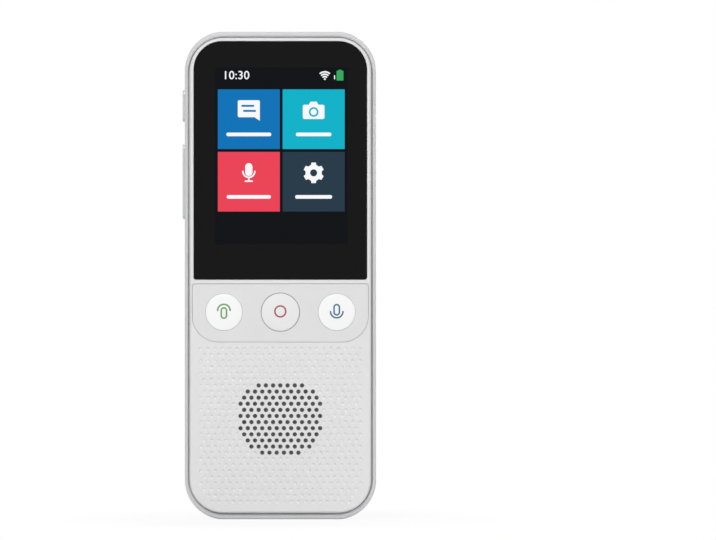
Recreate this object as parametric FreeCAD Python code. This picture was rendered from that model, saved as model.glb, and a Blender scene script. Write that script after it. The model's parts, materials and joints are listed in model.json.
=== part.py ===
import FreeCAD, Part
import math
import os

from FreeCAD import Vector

# Handheld voice translator, standing on its lower end. The screen side faces -Y, the back faces +Y,
# and the origin is on the floor under the middle of the body. All lengths are in millimetres.

# Body, as seen from the front and from the side
body_width = 53.0
body_height = 135.0
body_depth = 14.0
corner_radius = 10.8
back_round = 7.5
inner_bevel = 3.4
end_flat = 0.1
wall = 1.8
end_wall = 2.2
rim_chamfer = 0.7

# Front cover, which drops into the rim of the rear shell
cover_side_inset = 1.35
cover_end_inset = 1.75
cover_groove = 0.35
cover_stand = 1.6
cover_edge = 2.6
cover_plate = 2.15
cover_chamfer = 0.5
tongue_thickness = 0.8
tongue_depth = 1.2
fit_gap = 0.1
catch_reach = 0.3
catch_length = 5.0
catch_height = 0.5

# Screen glass and display
glass_side_gap = 2.6
glass_height = 65.8
glass_top_gap = 2.8
glass_thickness = 0.9
glass_step = 0.1
glass_top_radius = 7.8
glass_low_radius = 0.6
glass_gap = 0.12
tape_thickness = 0.15
tape_margin = 0.25
display_side_gap = 2.55
display_low_gap = 2.0
display_top_gap = 4.6
display_cell = 1.2
backlight_depth = 1.1
display_gap = 0.25
bond_margin = 1.2

# Key panel and the three round keys
panel_side_gap = 2.2
panel_height = 16.0
panel_thickness = 1.0
panel_top_radius = 0.8
panel_low_radius = 7.2
panel_gap = 0.1
bar_height = 1.05
key_spacing_share = 0.321
key_rise = 8.2
talk_key_radius = 5.0
record_key_radius = 5.25
key_gap = 0.15
key_crown = 0.4
key_proud = 0.15
key_flange = 11.8
key_flange_thickness = 0.6
key_rest_gap = 0.1
key_travel = 0.35
key_mat_thickness = 0.6
key_mat_margin = 1.0
nub_radius = 2.0
stop_gap = 0.05
switch_size = 4.4
switch_depth = 0.65
plunger_radius = 1.0
running_gap = 0.1

# Speaker grille: holes on a staggered lattice, kept inside a circle with its top and bottom cut off
grille_pitch = 2.0
grille_row_pitch = 1.69
grille_top_gap = 1.93
grille_center_share = 0.5689
grille_radius_share = 0.2392
grille_reach_share = 0.2036
grille_hole = 1.2
grille_hole_sides = 8
grille_thickness = 1.2

# Speaker behind the grille
speaker_margin = 2.25
speaker_flange = 0.8
speaker_basket_inset = 1.4
speaker_basket_depth = 2.4
speaker_magnet_inset = 4.6
speaker_magnet_depth = 1.8
speaker_rib = 0.8
mesh_thickness = 0.15
gasket_width = 1.2
membrane_thickness = 0.25
lead_radius = 0.4

# Main circuit board and what is on it
board_inset = 3.3
board_thickness = 1.0
board_front_gap = 1.15
board_low_gap = 5.13
boss_radius = 1.6
screw_radius = 0.7
screw_length = 2.9
screw_head_radius = 1.3
screw_head_depth = 0.7
screw_fit = 0.02
top_screw_inset = 10.0
low_screw_inset = 6.1
low_screw_gap = 2.53
top_screw_gap = 5.6
shield_size = 18.0
shield_depth = 1.5
memory_chip = 8.0
power_chip = 6.0
amplifier_chip = 5.0
radio_chip = 4.0
chip_depth = 0.9
socket_height = 2.2

# Battery
battery_side_gap = 9.0
battery_height = 58.0
battery_clearance = 0.55
battery_top_gap = 28.6
battery_round = 1.2
battery_rib = 1.0
battery_rib_length = 16.0
battery_lead_inset = 5.5
battery_lead_straight = 2.2
plug_width = 2.4
plug_height = 3.2
plug_depth = 1.8

# Side keys on the left edge
side_key_width = 2.6
side_key_drop = 3.0
side_key_proud = 0.65
side_key_gap = 0.15
side_flange = 0.7
side_flange_lip = 0.4
side_nub_radius = 0.9
side_plunger_radius = 0.65
power_key_length = 8.9
power_key_drop = 20.5
power_travel = 0.25
rocker_length = 20.8
rocker_drop = 41.5
rocker_flange_gap = 0.4
rocker_switch_offset = 7.0
rocker_fulcrum_radius = 0.55
side_board_gap = 1.9
side_board_thickness = 0.8
side_board_width = 3.2
side_switch_depth = 0.4
side_clip = 2.0

# Charging port and its board
port_width = 8.94
port_height = 3.2
port_length = 7.3
port_nose_gap = 0.4
port_wall = 0.32
port_tongue_gap = 0.55
port_board_width = 30.0
port_board_height = 9.4
port_board_thickness = 0.8
flex_thickness = 0.15
flex_width = 8.0

# Camera window in the back, and the camera
window_side_gap = 10.5
window_height = 9.8
window_drop = 11.4
window_thickness = 0.8
window_step = 0.05
window_floor = 0.8
ring_width = 0.4
lens_end_gap = 6.9
lens_radius = 2.6
lens_mouth_radius = 1.9
lens_face_radius = 1.3
lens_sink = 0.9
lens_thickness = 0.3
flash_spacing = 6.4
flash_radius = 1.1
camera_size = 8.5
camera_socket_depth = 0.8
camera_barrel_depth = 2.6

# Microphones
microphone_size = 3.0
microphone_depth = 1.1
microphone_hole_radius = 0.5
low_microphone_offset = 9.5
top_microphone_offset = -8.0

# Depths, counted from the middle of the body
front_y = -body_depth / 2
back_y = body_depth / 2
rim_y = front_y + cover_stand
seat_y = front_y + cover_edge
plate_y = front_y + cover_plate
tongue_y = seat_y + tongue_depth
inner_back_y = back_y - wall
glass_front_y = front_y + glass_step
glass_back_y = glass_front_y + glass_thickness
ledge_y = glass_back_y + tape_thickness
display_back_y = ledge_y + display_cell + backlight_depth
board_y = display_back_y + board_front_gap
board_back_y = board_y + board_thickness

battery_thickness = inner_back_y - tape_thickness - board_back_y - shield_depth - battery_clearance
port_y = tongue_y + port_height / 2 + port_tongue_gap
side_key_y = rim_y + side_key_drop

# Heights
glass_top_z = body_height - glass_top_gap
glass_low_z = glass_top_z - glass_height
display_top_z = glass_top_z - display_top_gap
display_low_z = glass_low_z + display_low_gap
panel_top_z = glass_low_z - glass_gap - bar_height - panel_gap
panel_low_z = panel_top_z - panel_height
key_z = panel_low_z + key_rise
grille_top_row = panel_low_z - grille_top_gap
grille_center_z = panel_low_z * grille_center_share
grille_radius = panel_low_z * grille_radius_share
grille_reach = panel_low_z * grille_reach_share
board_low_edge = panel_low_z - board_low_gap
low_screw_z = panel_low_z - low_screw_gap
battery_top_z = body_height - battery_top_gap
battery_low_z = battery_top_z - battery_height
power_key_z = body_height - power_key_drop
rocker_z = body_height - rocker_drop
window_z = body_height - window_drop

# Sideways
glass_width = body_width - 2 * glass_side_gap
display_width = glass_width - 2 * display_side_gap
panel_width = body_width - 2 * panel_side_gap
key_spacing = panel_width * key_spacing_share
speaker_size = 2 * (grille_radius + speaker_margin)
speaker_basket_radius = speaker_size / 2 - speaker_basket_inset
speaker_magnet_radius = speaker_basket_radius - speaker_magnet_inset
top_screw_x = body_width / 2 - top_screw_inset
low_screw_x = body_width / 2 - low_screw_inset
battery_width = body_width - 2 * battery_side_gap
battery_lead_x = battery_lead_inset - battery_width / 2
window_width = body_width - 2 * window_side_gap
lens_x = window_width / 2 - lens_end_gap
flash_x = lens_x - flash_spacing
wall_x = body_width / 2 - wall
side_board_x = -wall_x + side_board_gap
side_board_inner_x = side_board_x + side_board_thickness


def box(x_low, x_high, y_low, y_high, z_low, z_high):
    size = Vector(x_high - x_low, y_high - y_low, z_high - z_low)
    return Part.makeBox(size.x, size.y, size.z, Vector(x_low, y_low, z_low))


def rounded_outline(x_low, x_high, z_low, z_high, low_radius, top_radius, y):
    """A closed wire in the plane at depth y, with rounded lower and upper corners."""
    corners = (
        (x_low, z_low, 1, 1, low_radius),
        (x_high, z_low, -1, 1, low_radius),
        (x_high, z_high, -1, -1, top_radius),
        (x_low, z_high, 1, -1, top_radius),
    )
    arcs = []
    for index, (x, z, across, up, radius) in enumerate(corners):
        beside = Vector(x + across * radius, y, z)
        along = Vector(x, y, z + up * radius)
        center = Vector(x + across * radius, y, z + up * radius)
        middle = center + Vector(-across, 0, -up).normalize() * radius
        ends = (along, beside) if index % 2 == 0 else (beside, along)
        arcs.append((ends[0], middle, ends[1]))
    edges = []
    for index, (start, middle, end) in enumerate(arcs):
        following = arcs[(index + 1) % len(arcs)][0]
        edges.append(Part.Arc(start, middle, end).toShape())
        edges.append(Part.LineSegment(end, following).toShape())
    return Part.Wire(edges)


def rounded_plate(x_low, x_high, y_low, y_high, z_low, z_high, low_radius, top_radius):
    wire = rounded_outline(x_low, x_high, z_low, z_high, low_radius, top_radius, y_low)
    return Part.Face(wire).extrude(Vector(0, y_high - y_low, 0))


def body_slab(side_inset, end_inset, y_low, y_high):
    """The body's own outline, drawn in from its sides and its ends, as a slab."""
    half = body_width / 2 - side_inset
    radius = corner_radius - (side_inset + end_inset) / 2
    return rounded_plate(
        -half, half, y_low, y_high, end_inset, body_height - end_inset, radius, radius
    )


def rod(radius, start, end):
    return Part.makeCylinder(radius, (end - start).Length, start, end - start)


def rod_y(radius, x, z, y_low, y_high):
    return rod(radius, Vector(x, y_low, z), Vector(x, y_high, z))


def rod_x(radius, y, z, x_low, x_high):
    return rod(radius, Vector(x_low, y, z), Vector(x_high, y, z))


def stadium(center_x, center_z, width, height, y_low, y_high):
    """A plate with half-round ends, lying in the plane of the front."""
    radius = height / 2 - 0.001
    return rounded_plate(
        center_x - width / 2, center_x + width / 2, y_low, y_high,
        center_z - height / 2, center_z + height / 2, radius, radius,
    )


def edges_at(shape, y):
    """The edges that lie in the plane at depth y."""
    flat = 1e-6
    return [
        edge for edge in shape.Edges
        if abs(edge.BoundBox.YMin - y) < flat and abs(edge.BoundBox.YMax - y) < flat
    ]


def joined(first, *others):
    return first.fuse(list(others)).removeSplitter()


def turned(profile, x, z):
    """A solid turned about the Y direction through (x, z) from a profile of (radius, y) points."""
    points = [Vector(x + radius, y, z) for radius, y in profile]
    face = Part.Face(Part.makePolygon(points + points[:1]))
    return face.revolve(Vector(x, 0, z), Vector(0, 1, 0), 360)


def bent_path(points, radius):
    """Straight runs joined by tangent arcs of one radius."""
    edges = []
    last = points[0]
    for before, corner, after in zip(points, points[1:], points[2:]):
        back = (before - corner).normalize()
        ahead = (after - corner).normalize()
        half_turn = back.getAngle(ahead) / 2
        reach = radius / math.tan(half_turn)
        inward = (back + ahead).normalize()
        start = corner + back * reach
        end = corner + ahead * reach
        middle = corner + inward * (radius / math.sin(half_turn) - radius)
        edges.append(Part.LineSegment(last, start).toShape())
        edges.append(Part.Arc(start, middle, end).toShape())
        last = end
    edges.append(Part.LineSegment(last, points[-1]).toShape())
    return Part.Wire(edges)


def flat_cable(points, radius, x_middle, width):
    """A thin flat cable whose middle line follows a bent path in the plane of the side view."""
    path = bent_path([Vector(x_middle - width / 2, y, z) for y, z in points], radius)
    sheet = path.extrude(Vector(width, 0, 0))
    return sheet.makeOffsetShape(flex_thickness / 2, 1e-4, fill=True)


def grille_positions():
    """The lattice points inside the grille's field. Every other row is shifted by half a pitch."""
    columns = math.ceil(grille_radius / grille_pitch)
    rows = math.ceil(grille_top_row / grille_row_pitch)
    for row in range(rows):
        z = grille_top_row - row * grille_row_pitch
        if abs(z - grille_center_z) > grille_reach:
            continue
        shift = grille_pitch / 2 if row % 2 else 0.0
        for column in range(-columns, columns + 1):
            x = column * grille_pitch + shift
            if math.hypot(x, z - grille_center_z) <= grille_radius:
                yield x, z


def grille_hole_tool(x, z):
    radius = grille_hole / 2
    points = []
    for side in range(grille_hole_sides):
        angle = 2 * math.pi * side / grille_hole_sides
        points.append(Vector(x + radius * math.cos(angle), 0, z + radius * math.sin(angle)))
    face = Part.Face(Part.makePolygon(points + points[:1]))
    face.translate(Vector(0, front_y - wall, 0))
    return face.extrude(Vector(0, 2 * wall + cover_plate, 0))


def speaker_square(half, y_low, y_high):
    return box(
        -half, half, y_low, y_high, grille_center_z - half, grille_center_z + half
    )


def key_centers():
    """Each front key's name, place across the body and radius."""
    return (
        ("talk_key_left", -key_spacing, talk_key_radius),
        ("record_key", 0.0, record_key_radius),
        ("talk_key_right", key_spacing, talk_key_radius),
    )


def screw_places():
    """Where the main board's four screws stand."""
    top_z = body_height - top_screw_gap
    for side in (-1, 1):
        yield side * top_screw_x, top_z
        yield side * low_screw_x, low_screw_z


def port_screw_places():
    for side in (-1, 1):
        yield side * (port_board_width / 2 - 2 * screw_head_radius), port_board_z() + port_board_height / 2


def port_board_z():
    return end_wall + side_clip / 2


def port_board_y():
    """The port board's front face, which carries the port."""
    return port_y + port_height / 2


def window_ring_outline(extra, y_low, y_high):
    width = window_width + 2 * extra
    height = window_height + 2 * extra
    return stadium(0, window_z, width, height, y_low, y_high)


def side_opening(center_z, length, gap, x_low, x_high):
    """A slot or a key body with half-round ends in the left wall."""
    radius = side_key_width / 2 + gap
    half = length / 2 + gap
    straight = box(
        x_low, x_high, side_key_y - radius, side_key_y + radius,
        center_z - half + radius, center_z + half - radius,
    )
    low = rod_x(radius, side_key_y, center_z - half + radius, x_low, x_high)
    high = rod_x(radius, side_key_y, center_z + half - radius, x_low, x_high)
    return joined(straight, low, high)


def catch_places():
    """Heights of the snap catches on each long side, clear of the side keys."""
    low = battery_low_z / 2
    return (low, low + catch_length * 4, body_height - cover_end_inset - corner_radius)


def front_cover():
    """The front moulding: screen recess, key recess, perforated grille, tongue, catches and bosses."""
    cover = body_slab(cover_side_inset, cover_end_inset, front_y, seat_y)
    cover = cover.makeChamfer(cover_chamfer, edges_at(cover, front_y))
    tongue_side = wall + fit_gap
    tongue_end = end_wall + fit_gap
    tongue = body_slab(tongue_side, tongue_end, plate_y, tongue_y)
    inside = body_slab(
        tongue_side + tongue_thickness, tongue_end + tongue_thickness, plate_y, tongue_y + wall
    )
    cover = joined(cover, tongue).cut(inside)

    half_glass = glass_width / 2 + glass_gap
    screen_recess = rounded_plate(
        -half_glass, half_glass, front_y - wall, ledge_y,
        glass_low_z - glass_gap, glass_top_z + glass_gap,
        glass_low_radius + glass_gap, glass_top_radius + glass_gap,
    )
    half_display = display_width / 2 + display_gap
    screen_opening = box(
        -half_display, half_display, front_y, plate_y + wall,
        display_low_z - display_gap, display_top_z + display_gap,
    )
    half_panel = panel_width / 2 + panel_gap
    panel_recess = rounded_plate(
        -half_panel, half_panel, front_y - wall, front_y + panel_thickness,
        panel_low_z - panel_gap, panel_top_z + panel_gap,
        panel_low_radius + panel_gap, panel_top_radius + panel_gap,
    )
    cuts = [screen_recess, screen_opening, panel_recess]
    for _, x, radius in key_centers():
        cuts.append(rod_y(radius + 2 * key_gap, x, key_z, front_y, plate_y + wall))
    cuts.append(speaker_square(speaker_size / 2, front_y + grille_thickness, plate_y + wall))

    key_room_low = rocker_z - rocker_length / 2 - side_clip - 2 * side_flange
    key_room_high = power_key_z + power_key_length / 2 + side_clip + 2 * side_flange
    cuts.append(box(-body_width, -wall_x + wall, plate_y, back_y, key_room_low, key_room_high))
    cuts[-1] = cuts[-1].common(body_slab(tongue_side, tongue_end, seat_y, back_y))
    cover = cover.cut(cuts)

    rib_outer = speaker_size / 2 + fit_gap + speaker_rib
    rib = speaker_square(rib_outer, plate_y, plate_y + speaker_flange + speaker_rib)
    rib = rib.cut(speaker_square(speaker_size / 2 + fit_gap, front_y, back_y))
    lead_way = box(
        -speaker_basket_radius / 2, speaker_basket_radius / 2, plate_y + speaker_flange, back_y,
        grille_center_z, grille_center_z + 2 * rib_outer,
    )
    additions = [rib.cut(lead_way)]
    for x, z in screw_places():
        additions.append(rod_y(boss_radius, x, z, plate_y, board_y))
    for side in (-1, 1):
        for z in catch_places():
            additions.append(snap_catch(side, z, 0.0))
    cover = joined(cover, *additions)

    holes = [grille_hole_tool(x, z) for x, z in grille_positions()]
    for x, z in screw_places():
        holes.append(rod_y(screw_radius + screw_fit, x, z, board_back_y - screw_length - fit_gap, board_y))
    return cover.cut(holes)


def snap_catch(side, z, gap):
    """A wedge on the cover's tongue. With a gap it is the pocket in the rear shell's wall."""
    face_x = body_width / 2 - wall - fit_gap
    middle_y = (seat_y + tongue_y) / 2
    half = catch_height / 2 + gap
    points = [
        Vector(side * (face_x - fit_gap), middle_y - half, z - catch_length / 2 - gap),
        Vector(side * (face_x + catch_reach + gap), middle_y, z - catch_length / 2 - gap),
        Vector(side * (face_x - fit_gap), middle_y + half, z - catch_length / 2 - gap),
    ]
    face = Part.Face(Part.makePolygon(points + points[:1]))
    return face.extrude(Vector(0, 0, catch_length + 2 * gap))


def rear_shell():
    """The rear moulding: a tray with a soft back edge, a rim, a window recess and key slots."""
    body = body_slab(0, -end_flat, rim_y, back_y)
    body = body.makeFillet(back_round, edges_at(body, back_y))
    body = body.makeChamfer(rim_chamfer, edges_at(body, rim_y))
    body = body.common(box(-body_width, body_width, -body_depth, body_depth, 0, body_height))

    cavity = body_slab(wall, end_wall, front_y, inner_back_y)
    cavity = cavity.makeChamfer(inner_bevel, edges_at(cavity, inner_back_y))
    rebate = body_slab(
        cover_side_inset - cover_groove, cover_end_inset - cover_groove, front_y, seat_y
    )
    window_back_y = back_y - window_step - window_thickness - tape_thickness
    window_seat = window_ring_outline(ring_width + fit_gap / 2, window_back_y, back_y + wall)
    shell = body.cut([cavity, rebate, window_seat])
    # the window's floor is thickened where the seat comes near the inner face
    floor_plate = stadium(
        0, window_z, window_width + 4 * ring_width, window_height + 4 * ring_width,
        window_back_y - window_floor, window_back_y,
    )
    features = [floor_plate]

    rib_left = battery_lead_x + plug_width
    rib_front_y = inner_back_y - battery_thickness / 2
    for z_low in (battery_low_z - fit_gap - battery_rib, battery_top_z + fit_gap):
        features.append(
            box(
                rib_left, rib_left + battery_rib_length, rib_front_y, back_y - wall / 2,
                z_low, z_low + battery_rib,
            )
        )
    for x, z in port_screw_places():
        features.append(
            rod_y(boss_radius, x, z, port_board_y() + port_board_thickness, back_y - wall / 2)
        )
    for z_middle in side_clip_centers():
        features.append(side_clip_block(z_middle))
    shell = joined(shell, *features)

    cuts = [
        rod_y(lens_radius + 3 * fit_gap, lens_x, window_z, inner_back_y - wall, back_y),
        rod_y(flash_radius + 2 * fit_gap, flash_x, window_z, inner_back_y - wall, back_y),
        side_opening(power_key_z, power_key_length, side_key_gap, -body_width, -wall_x + fit_gap),
        side_opening(rocker_z, rocker_length, side_key_gap, -body_width, -wall_x + fit_gap),
        port_tool(port_width / 2 + fit_gap, port_height / 2 + fit_gap, -wall, end_wall + fit_gap),
        side_board_solid(fit_gap / 2),
    ]
    low_mic, top_mic = microphone_places()
    radius = microphone_hole_radius
    spans = (
        (low_mic[0], low_mic[1], -wall, end_wall + wall),
        (top_mic[0], top_mic[1], body_height - end_wall - fit_gap, body_height + wall),
    )
    for x, y, z_low, z_high in spans:
        cuts.append(rod(radius, Vector(x, y, z_low), Vector(x, y, z_high)))
    for x, z in port_screw_places():
        start = port_board_y() + port_board_thickness
        cuts.append(rod_y(screw_radius + screw_fit, x, z, start, start + screw_length))
    for side in (-1, 1):
        for z in catch_places():
            cuts.append(snap_catch(side, z, fit_gap))
    return shell.cut(cuts)


def side_clip_centers():
    low = rocker_z - rocker_length / 2 - side_flange - side_clip
    high = power_key_z + power_key_length / 2 + side_flange + side_clip
    return (low, high)


def side_clip_block(z_middle):
    """A post on the left wall, slotted for the end of the side board."""
    return box(
        -wall_x - wall / 2, side_board_inner_x + side_board_thickness,
        side_key_y - side_board_width / 2 + side_clip / 2, side_key_y + side_board_width,
        z_middle - side_clip / 2, z_middle + side_clip / 2,
    )


def side_board_solid(gap):
    low, high = side_clip_centers()
    return box(
        side_board_x - gap, side_board_inner_x + gap,
        side_key_y - side_board_width / 2, side_key_y + side_board_width / 2 + gap,
        low - side_clip / 4 - gap, high + side_clip / 4 + gap,
    )


def microphone_places():
    """Each sound hole's x, y and the height of its microphone's lower face."""
    low_y = port_board_y() - microphone_depth / 2
    top_y = board_back_y + microphone_depth / 2
    low_z = port_board_z() + side_clip / 2
    top_z = body_height - end_wall - side_clip - microphone_size
    return (
        (low_microphone_offset, low_y, low_z),
        (top_microphone_offset, top_y, top_z),
    )


def port_tool(half_width, half_height, z_low, z_high):
    """The port's rounded section, run along Z."""
    radius = half_height - 0.001
    straight = box(
        -half_width + radius, half_width - radius, port_y - half_height, port_y + half_height,
        z_low, z_high,
    )
    ends = []
    for side in (-1, 1):
        x = side * (half_width - radius)
        ends.append(rod(radius, Vector(x, port_y, z_low), Vector(x, port_y, z_high)))
    return joined(straight, *ends)


def screen_glass():
    half = glass_width / 2
    return rounded_plate(
        -half, half, glass_front_y, glass_back_y, glass_low_z, glass_top_z,
        glass_low_radius, glass_top_radius,
    )


def screen_tape():
    """The adhesive frame that holds the glass on its ledge."""
    half = glass_width / 2 - tape_margin
    outer = rounded_plate(
        -half, half, glass_back_y, ledge_y, glass_low_z + tape_margin, glass_top_z - tape_margin,
        glass_low_radius, glass_top_radius - tape_margin,
    )
    half_hole = display_width / 2 + display_gap
    hole = box(
        -half_hole, half_hole, glass_back_y - wall, ledge_y + wall,
        display_low_z - display_gap, display_top_z + display_gap,
    )
    return outer.cut(hole)


def display_box(margin, y_low, y_high):
    half = display_width / 2 - margin
    return box(-half, half, y_low, y_high, display_low_z + margin, display_top_z - margin)


def screen_bond():
    return display_box(bond_margin, glass_back_y, ledge_y)


def display_panel():
    return display_box(0, ledge_y, ledge_y + display_cell)


def backlight():
    """The backlight tray, with its corners cut back."""
    tray = display_box(fit_gap, ledge_y + display_cell, display_back_y)
    upright = [edge for edge in tray.Edges if edge.BoundBox.YLength > backlight_depth / 2]
    return tray.makeChamfer(display_gap * 2, upright)


def display_cable():
    """Leaves the display's lower edge, folds under it and runs up to its socket."""
    leave_y = ledge_y + display_cell - flex_thickness
    land_y = board_y - chip_depth / 2
    turn = (land_y - leave_y) / 2 - 0.01
    low_z = display_low_z - 2 * turn
    points = ((leave_y, display_low_z), (leave_y, low_z), (land_y, low_z), (land_y, display_low_z + wall))
    return flat_cable(points, turn, 0, battery_width / 2)


def display_socket():
    half = battery_width / 4 + wall / 2
    return box(
        -half, half, board_y - chip_depth, board_y,
        display_low_z + wall, display_low_z + wall + socket_height,
    )


def key_panel():
    half = panel_width / 2
    panel = rounded_plate(
        -half, half, front_y, front_y + panel_thickness, panel_low_z, panel_top_z,
        panel_low_radius, panel_top_radius,
    )
    holes = [
        rod_y(radius + key_gap, x, key_z, front_y - wall, front_y + panel_thickness + wall)
        for _, x, radius in key_centers()
    ]
    return panel.cut(holes)


def key_cap(x, radius, crown):
    """A round cap on a square flange. A crown makes its face a shallow dome."""
    edge_y = front_y - key_proud
    flange_y = plate_y + key_rest_gap
    cap = rod_y(radius, x, key_z, edge_y - crown, flange_y)
    if crown > 0:
        dome_radius = (radius ** 2 + crown ** 2) / (2 * crown)
        dome = Part.makeSphere(dome_radius, Vector(x, edge_y - crown + dome_radius, key_z))
        cap = cap.common(dome)
    else:
        cap = cap.makeChamfer(key_proud, edges_at(cap, edge_y))
    half = key_flange / 2
    flange = box(
        x - half, x + half, flange_y, flange_y + key_flange_thickness, key_z - half, key_z + half
    )
    return joined(cap, flange)


def key_back_y():
    return plate_y + key_rest_gap + key_flange_thickness


def nub_end_y():
    """The nub stops short of its switch by the key's travel and a small gap."""
    return board_y - switch_depth - key_travel - stop_gap


def key_nub(x):
    return rod_y(nub_radius, x, key_z, key_back_y(), nub_end_y())


def key_plunger(x):
    return rod_y(plunger_radius, x, key_z, nub_end_y(), board_y - key_travel - running_gap)


def key_switches():
    """The three switch bodies on the main board, each bored for its plunger."""
    half = switch_size / 2
    bodies = []
    for _, x, _ in key_centers():
        body = box(x - half, x + half, board_y - switch_depth, board_y, key_z - half, key_z + half)
        bore = rod_y(plunger_radius + running_gap, x, key_z, board_y - wall, board_y + wall)
        bodies.append(body.cut(bore))
    return Part.makeCompound(bodies)


def key_mat():
    """The silicone frame around the key flanges, stuck to the back of the cover."""
    half = key_spacing + key_flange / 2 + key_mat_margin
    rise = key_flange / 2 + key_mat_margin
    mat = box(-half, half, plate_y, plate_y + key_mat_thickness, key_z - rise, key_z + rise)
    hole = key_flange / 2 + 3 * fit_gap
    holes = [
        box(x - hole, x + hole, plate_y - wall, plate_y + wall, key_z - hole, key_z + hole)
        for _, x, _ in key_centers()
    ]
    return mat.cut(holes)


def speaker_front_y():
    return plate_y + fit_gap / 2


def dust_mesh():
    half = speaker_size / 2 - fit_gap
    y = front_y + grille_thickness
    return speaker_square(half, y, y + mesh_thickness)


def speaker_gasket():
    half = speaker_size / 2 - fit_gap
    y = front_y + grille_thickness + mesh_thickness
    ring = speaker_square(half, y, speaker_front_y())
    return ring.cut(speaker_square(half - gasket_width, front_y, back_y))


def speaker_basket_back():
    return speaker_front_y() + speaker_flange + speaker_basket_depth


def speaker_frame():
    """A square flange with a round basket behind it, hollowed for the membrane."""
    front = speaker_front_y()
    flange_back = front + speaker_flange
    back = speaker_basket_back()
    flange = speaker_square(speaker_size / 2, front, flange_back)
    basket = rod_y(speaker_basket_radius, 0, grille_center_z, flange_back, back)
    membrane_room = rod_y(
        speaker_basket_radius - speaker_rib, 0, grille_center_z, front - wall, back - speaker_rib
    )
    tab_half = 4 * lead_radius
    basket_top = grille_center_z + speaker_basket_radius
    tab = box(
        -tab_half, tab_half, flange_back, lead_y() - lead_radius,
        basket_top - lead_radius, basket_top + 3 * lead_radius,
    )
    return joined(flange, basket, tab).cut(membrane_room)


def speaker_magnet():
    back = speaker_basket_back()
    magnet = rod_y(speaker_magnet_radius, 0, grille_center_z, back, back + speaker_magnet_depth)
    return magnet.makeChamfer(speaker_rib / 2, edges_at(magnet, back + speaker_magnet_depth))


def speaker_membrane():
    """A thin membrane across the basket, with a raised round middle over the voice coil."""
    front = speaker_front_y() + speaker_flange / 2
    rim = speaker_basket_radius - speaker_rib
    neck = speaker_magnet_radius / 2
    skirt = rod_y(rim, 0, grille_center_z, front, front + membrane_thickness)
    crown = rod_y(neck, 0, grille_center_z, front, front + 3 * membrane_thickness)
    return joined(skirt, crown)


def lead_y():
    """The depth at which the speaker's leads run up to the front of the main board."""
    return board_y - lead_radius


def speaker_leads():
    start_z = grille_center_z + speaker_basket_radius + fit_gap
    end_z = board_low_edge + 2 * lead_radius
    leads = []
    for side in (-1, 1):
        x = side * 2 * lead_radius
        leads.append(rod(lead_radius, Vector(x, lead_y(), start_z), Vector(x, lead_y(), end_z)))
    return Part.makeCompound(leads)


def main_board():
    """The board behind the display, notched beside the side keys and drilled for its screws."""
    board = body_slab(board_inset, board_inset, board_y, board_back_y)
    board = board.cut(box(-body_width, body_width, -body_depth, body_depth, -wall, board_low_edge))
    low, high = side_clip_centers()
    notch = box(
        -body_width, side_board_inner_x + side_board_thickness + 2 * fit_gap, -body_depth, body_depth,
        low - side_clip / 2 - 3 * fit_gap, high + side_clip / 2 + 3 * fit_gap,
    )
    holes = [
        rod_y(screw_radius + fit_gap, x, z, -body_depth, body_depth) for x, z in screw_places()
    ]
    return board.cut([notch] + holes)


def processor_shield():
    shield = box(
        -shield_size, 0, board_back_y, board_back_y + shield_depth,
        battery_top_z - 2 * shield_size, battery_top_z - shield_size,
    )
    return shield.makeChamfer(chip_depth / 3, edges_at(shield, board_back_y + shield_depth))


def board_chips():
    """Memory, power and amplifier chips on the rear side of the main board."""
    middle_z = (board_low_edge + window_z) / 2
    layout = (
        (memory_chip, memory_chip, middle_z),
        (power_chip, memory_chip, middle_z - 2 * memory_chip),
        (amplifier_chip, -memory_chip, board_low_edge + 2 * memory_chip),
        (radio_chip, 2 * memory_chip, middle_z + memory_chip),
    )
    chips = []
    for width, x, z in layout:
        half = width / 2
        chips.append(
            box(x - half, x + half, board_back_y, board_back_y + chip_depth, z - half, z + half)
        )
    return Part.makeCompound(chips)


def small_screw(x, z, head_y, direction):
    """A flat-headed screw under its head at head_y, running along Y in the given direction."""
    head = rod_y(screw_head_radius, x, z, head_y, head_y - direction * screw_head_depth)
    shank = rod_y(screw_radius, x, z, head_y, head_y + direction * (screw_length - fit_gap))
    return joined(head, shank)


def board_screws():
    screws = [small_screw(x, z, board_back_y, -1) for x, z in screw_places()]
    screws += [small_screw(x, z, port_board_y(), 1) for x, z in port_screw_places()]
    return Part.makeCompound(screws)


def port_board():
    half = port_board_width / 2
    low = port_board_z()
    board = box(
        -half, half, port_board_y(), port_board_y() + port_board_thickness,
        low, low + port_board_height,
    )
    holes = [
        rod_y(screw_radius + fit_gap, x, z, -body_depth, body_depth) for x, z in port_screw_places()
    ]
    return board.cut(holes)


def charging_port():
    """A rounded metal shell, open at its lower mouth, with a contact tongue inside."""
    low = port_nose_gap
    high = port_nose_gap + port_length
    half_width = port_width / 2
    half_height = port_height / 2
    shell = port_tool(half_width, half_height, low, high)
    hollow = port_tool(half_width - port_wall, half_height - port_wall, low - wall, high - 4 * port_wall)
    tongue = box(
        -half_width + 4 * port_wall, half_width - 4 * port_wall,
        port_y - port_wall, port_y + port_wall,
        low + 2 * port_wall, high - 3 * port_wall,
    )
    return joined(shell.cut(hollow), tongue)


def port_socket():
    """Where the port's flat cable plugs into the rear of the main board."""
    half = flex_width / 2 + wall / 3
    return box(
        -half, half, board_back_y, board_back_y + chip_depth,
        board_low_edge + chip_depth, board_low_edge + 3 * chip_depth,
    )


def port_cable():
    """Runs up behind the speaker from the port board and bends forward to the main board."""
    rear_y = max(
        port_board_y() + port_board_thickness + flex_thickness / 2,
        speaker_basket_back() + speaker_magnet_depth + flex_width / 8,
    )
    land_y = board_back_y + chip_depth / 2
    bend_z = board_low_edge - flex_width / 2
    points = (
        (rear_y, port_board_z() + port_board_height / 2),
        (rear_y, bend_z - flex_width / 4),
        (land_y, bend_z + flex_width / 4),
        (land_y, board_low_edge + chip_depth),
    )
    return flat_cable(points, flex_width / 5, 0, flex_width)


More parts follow.
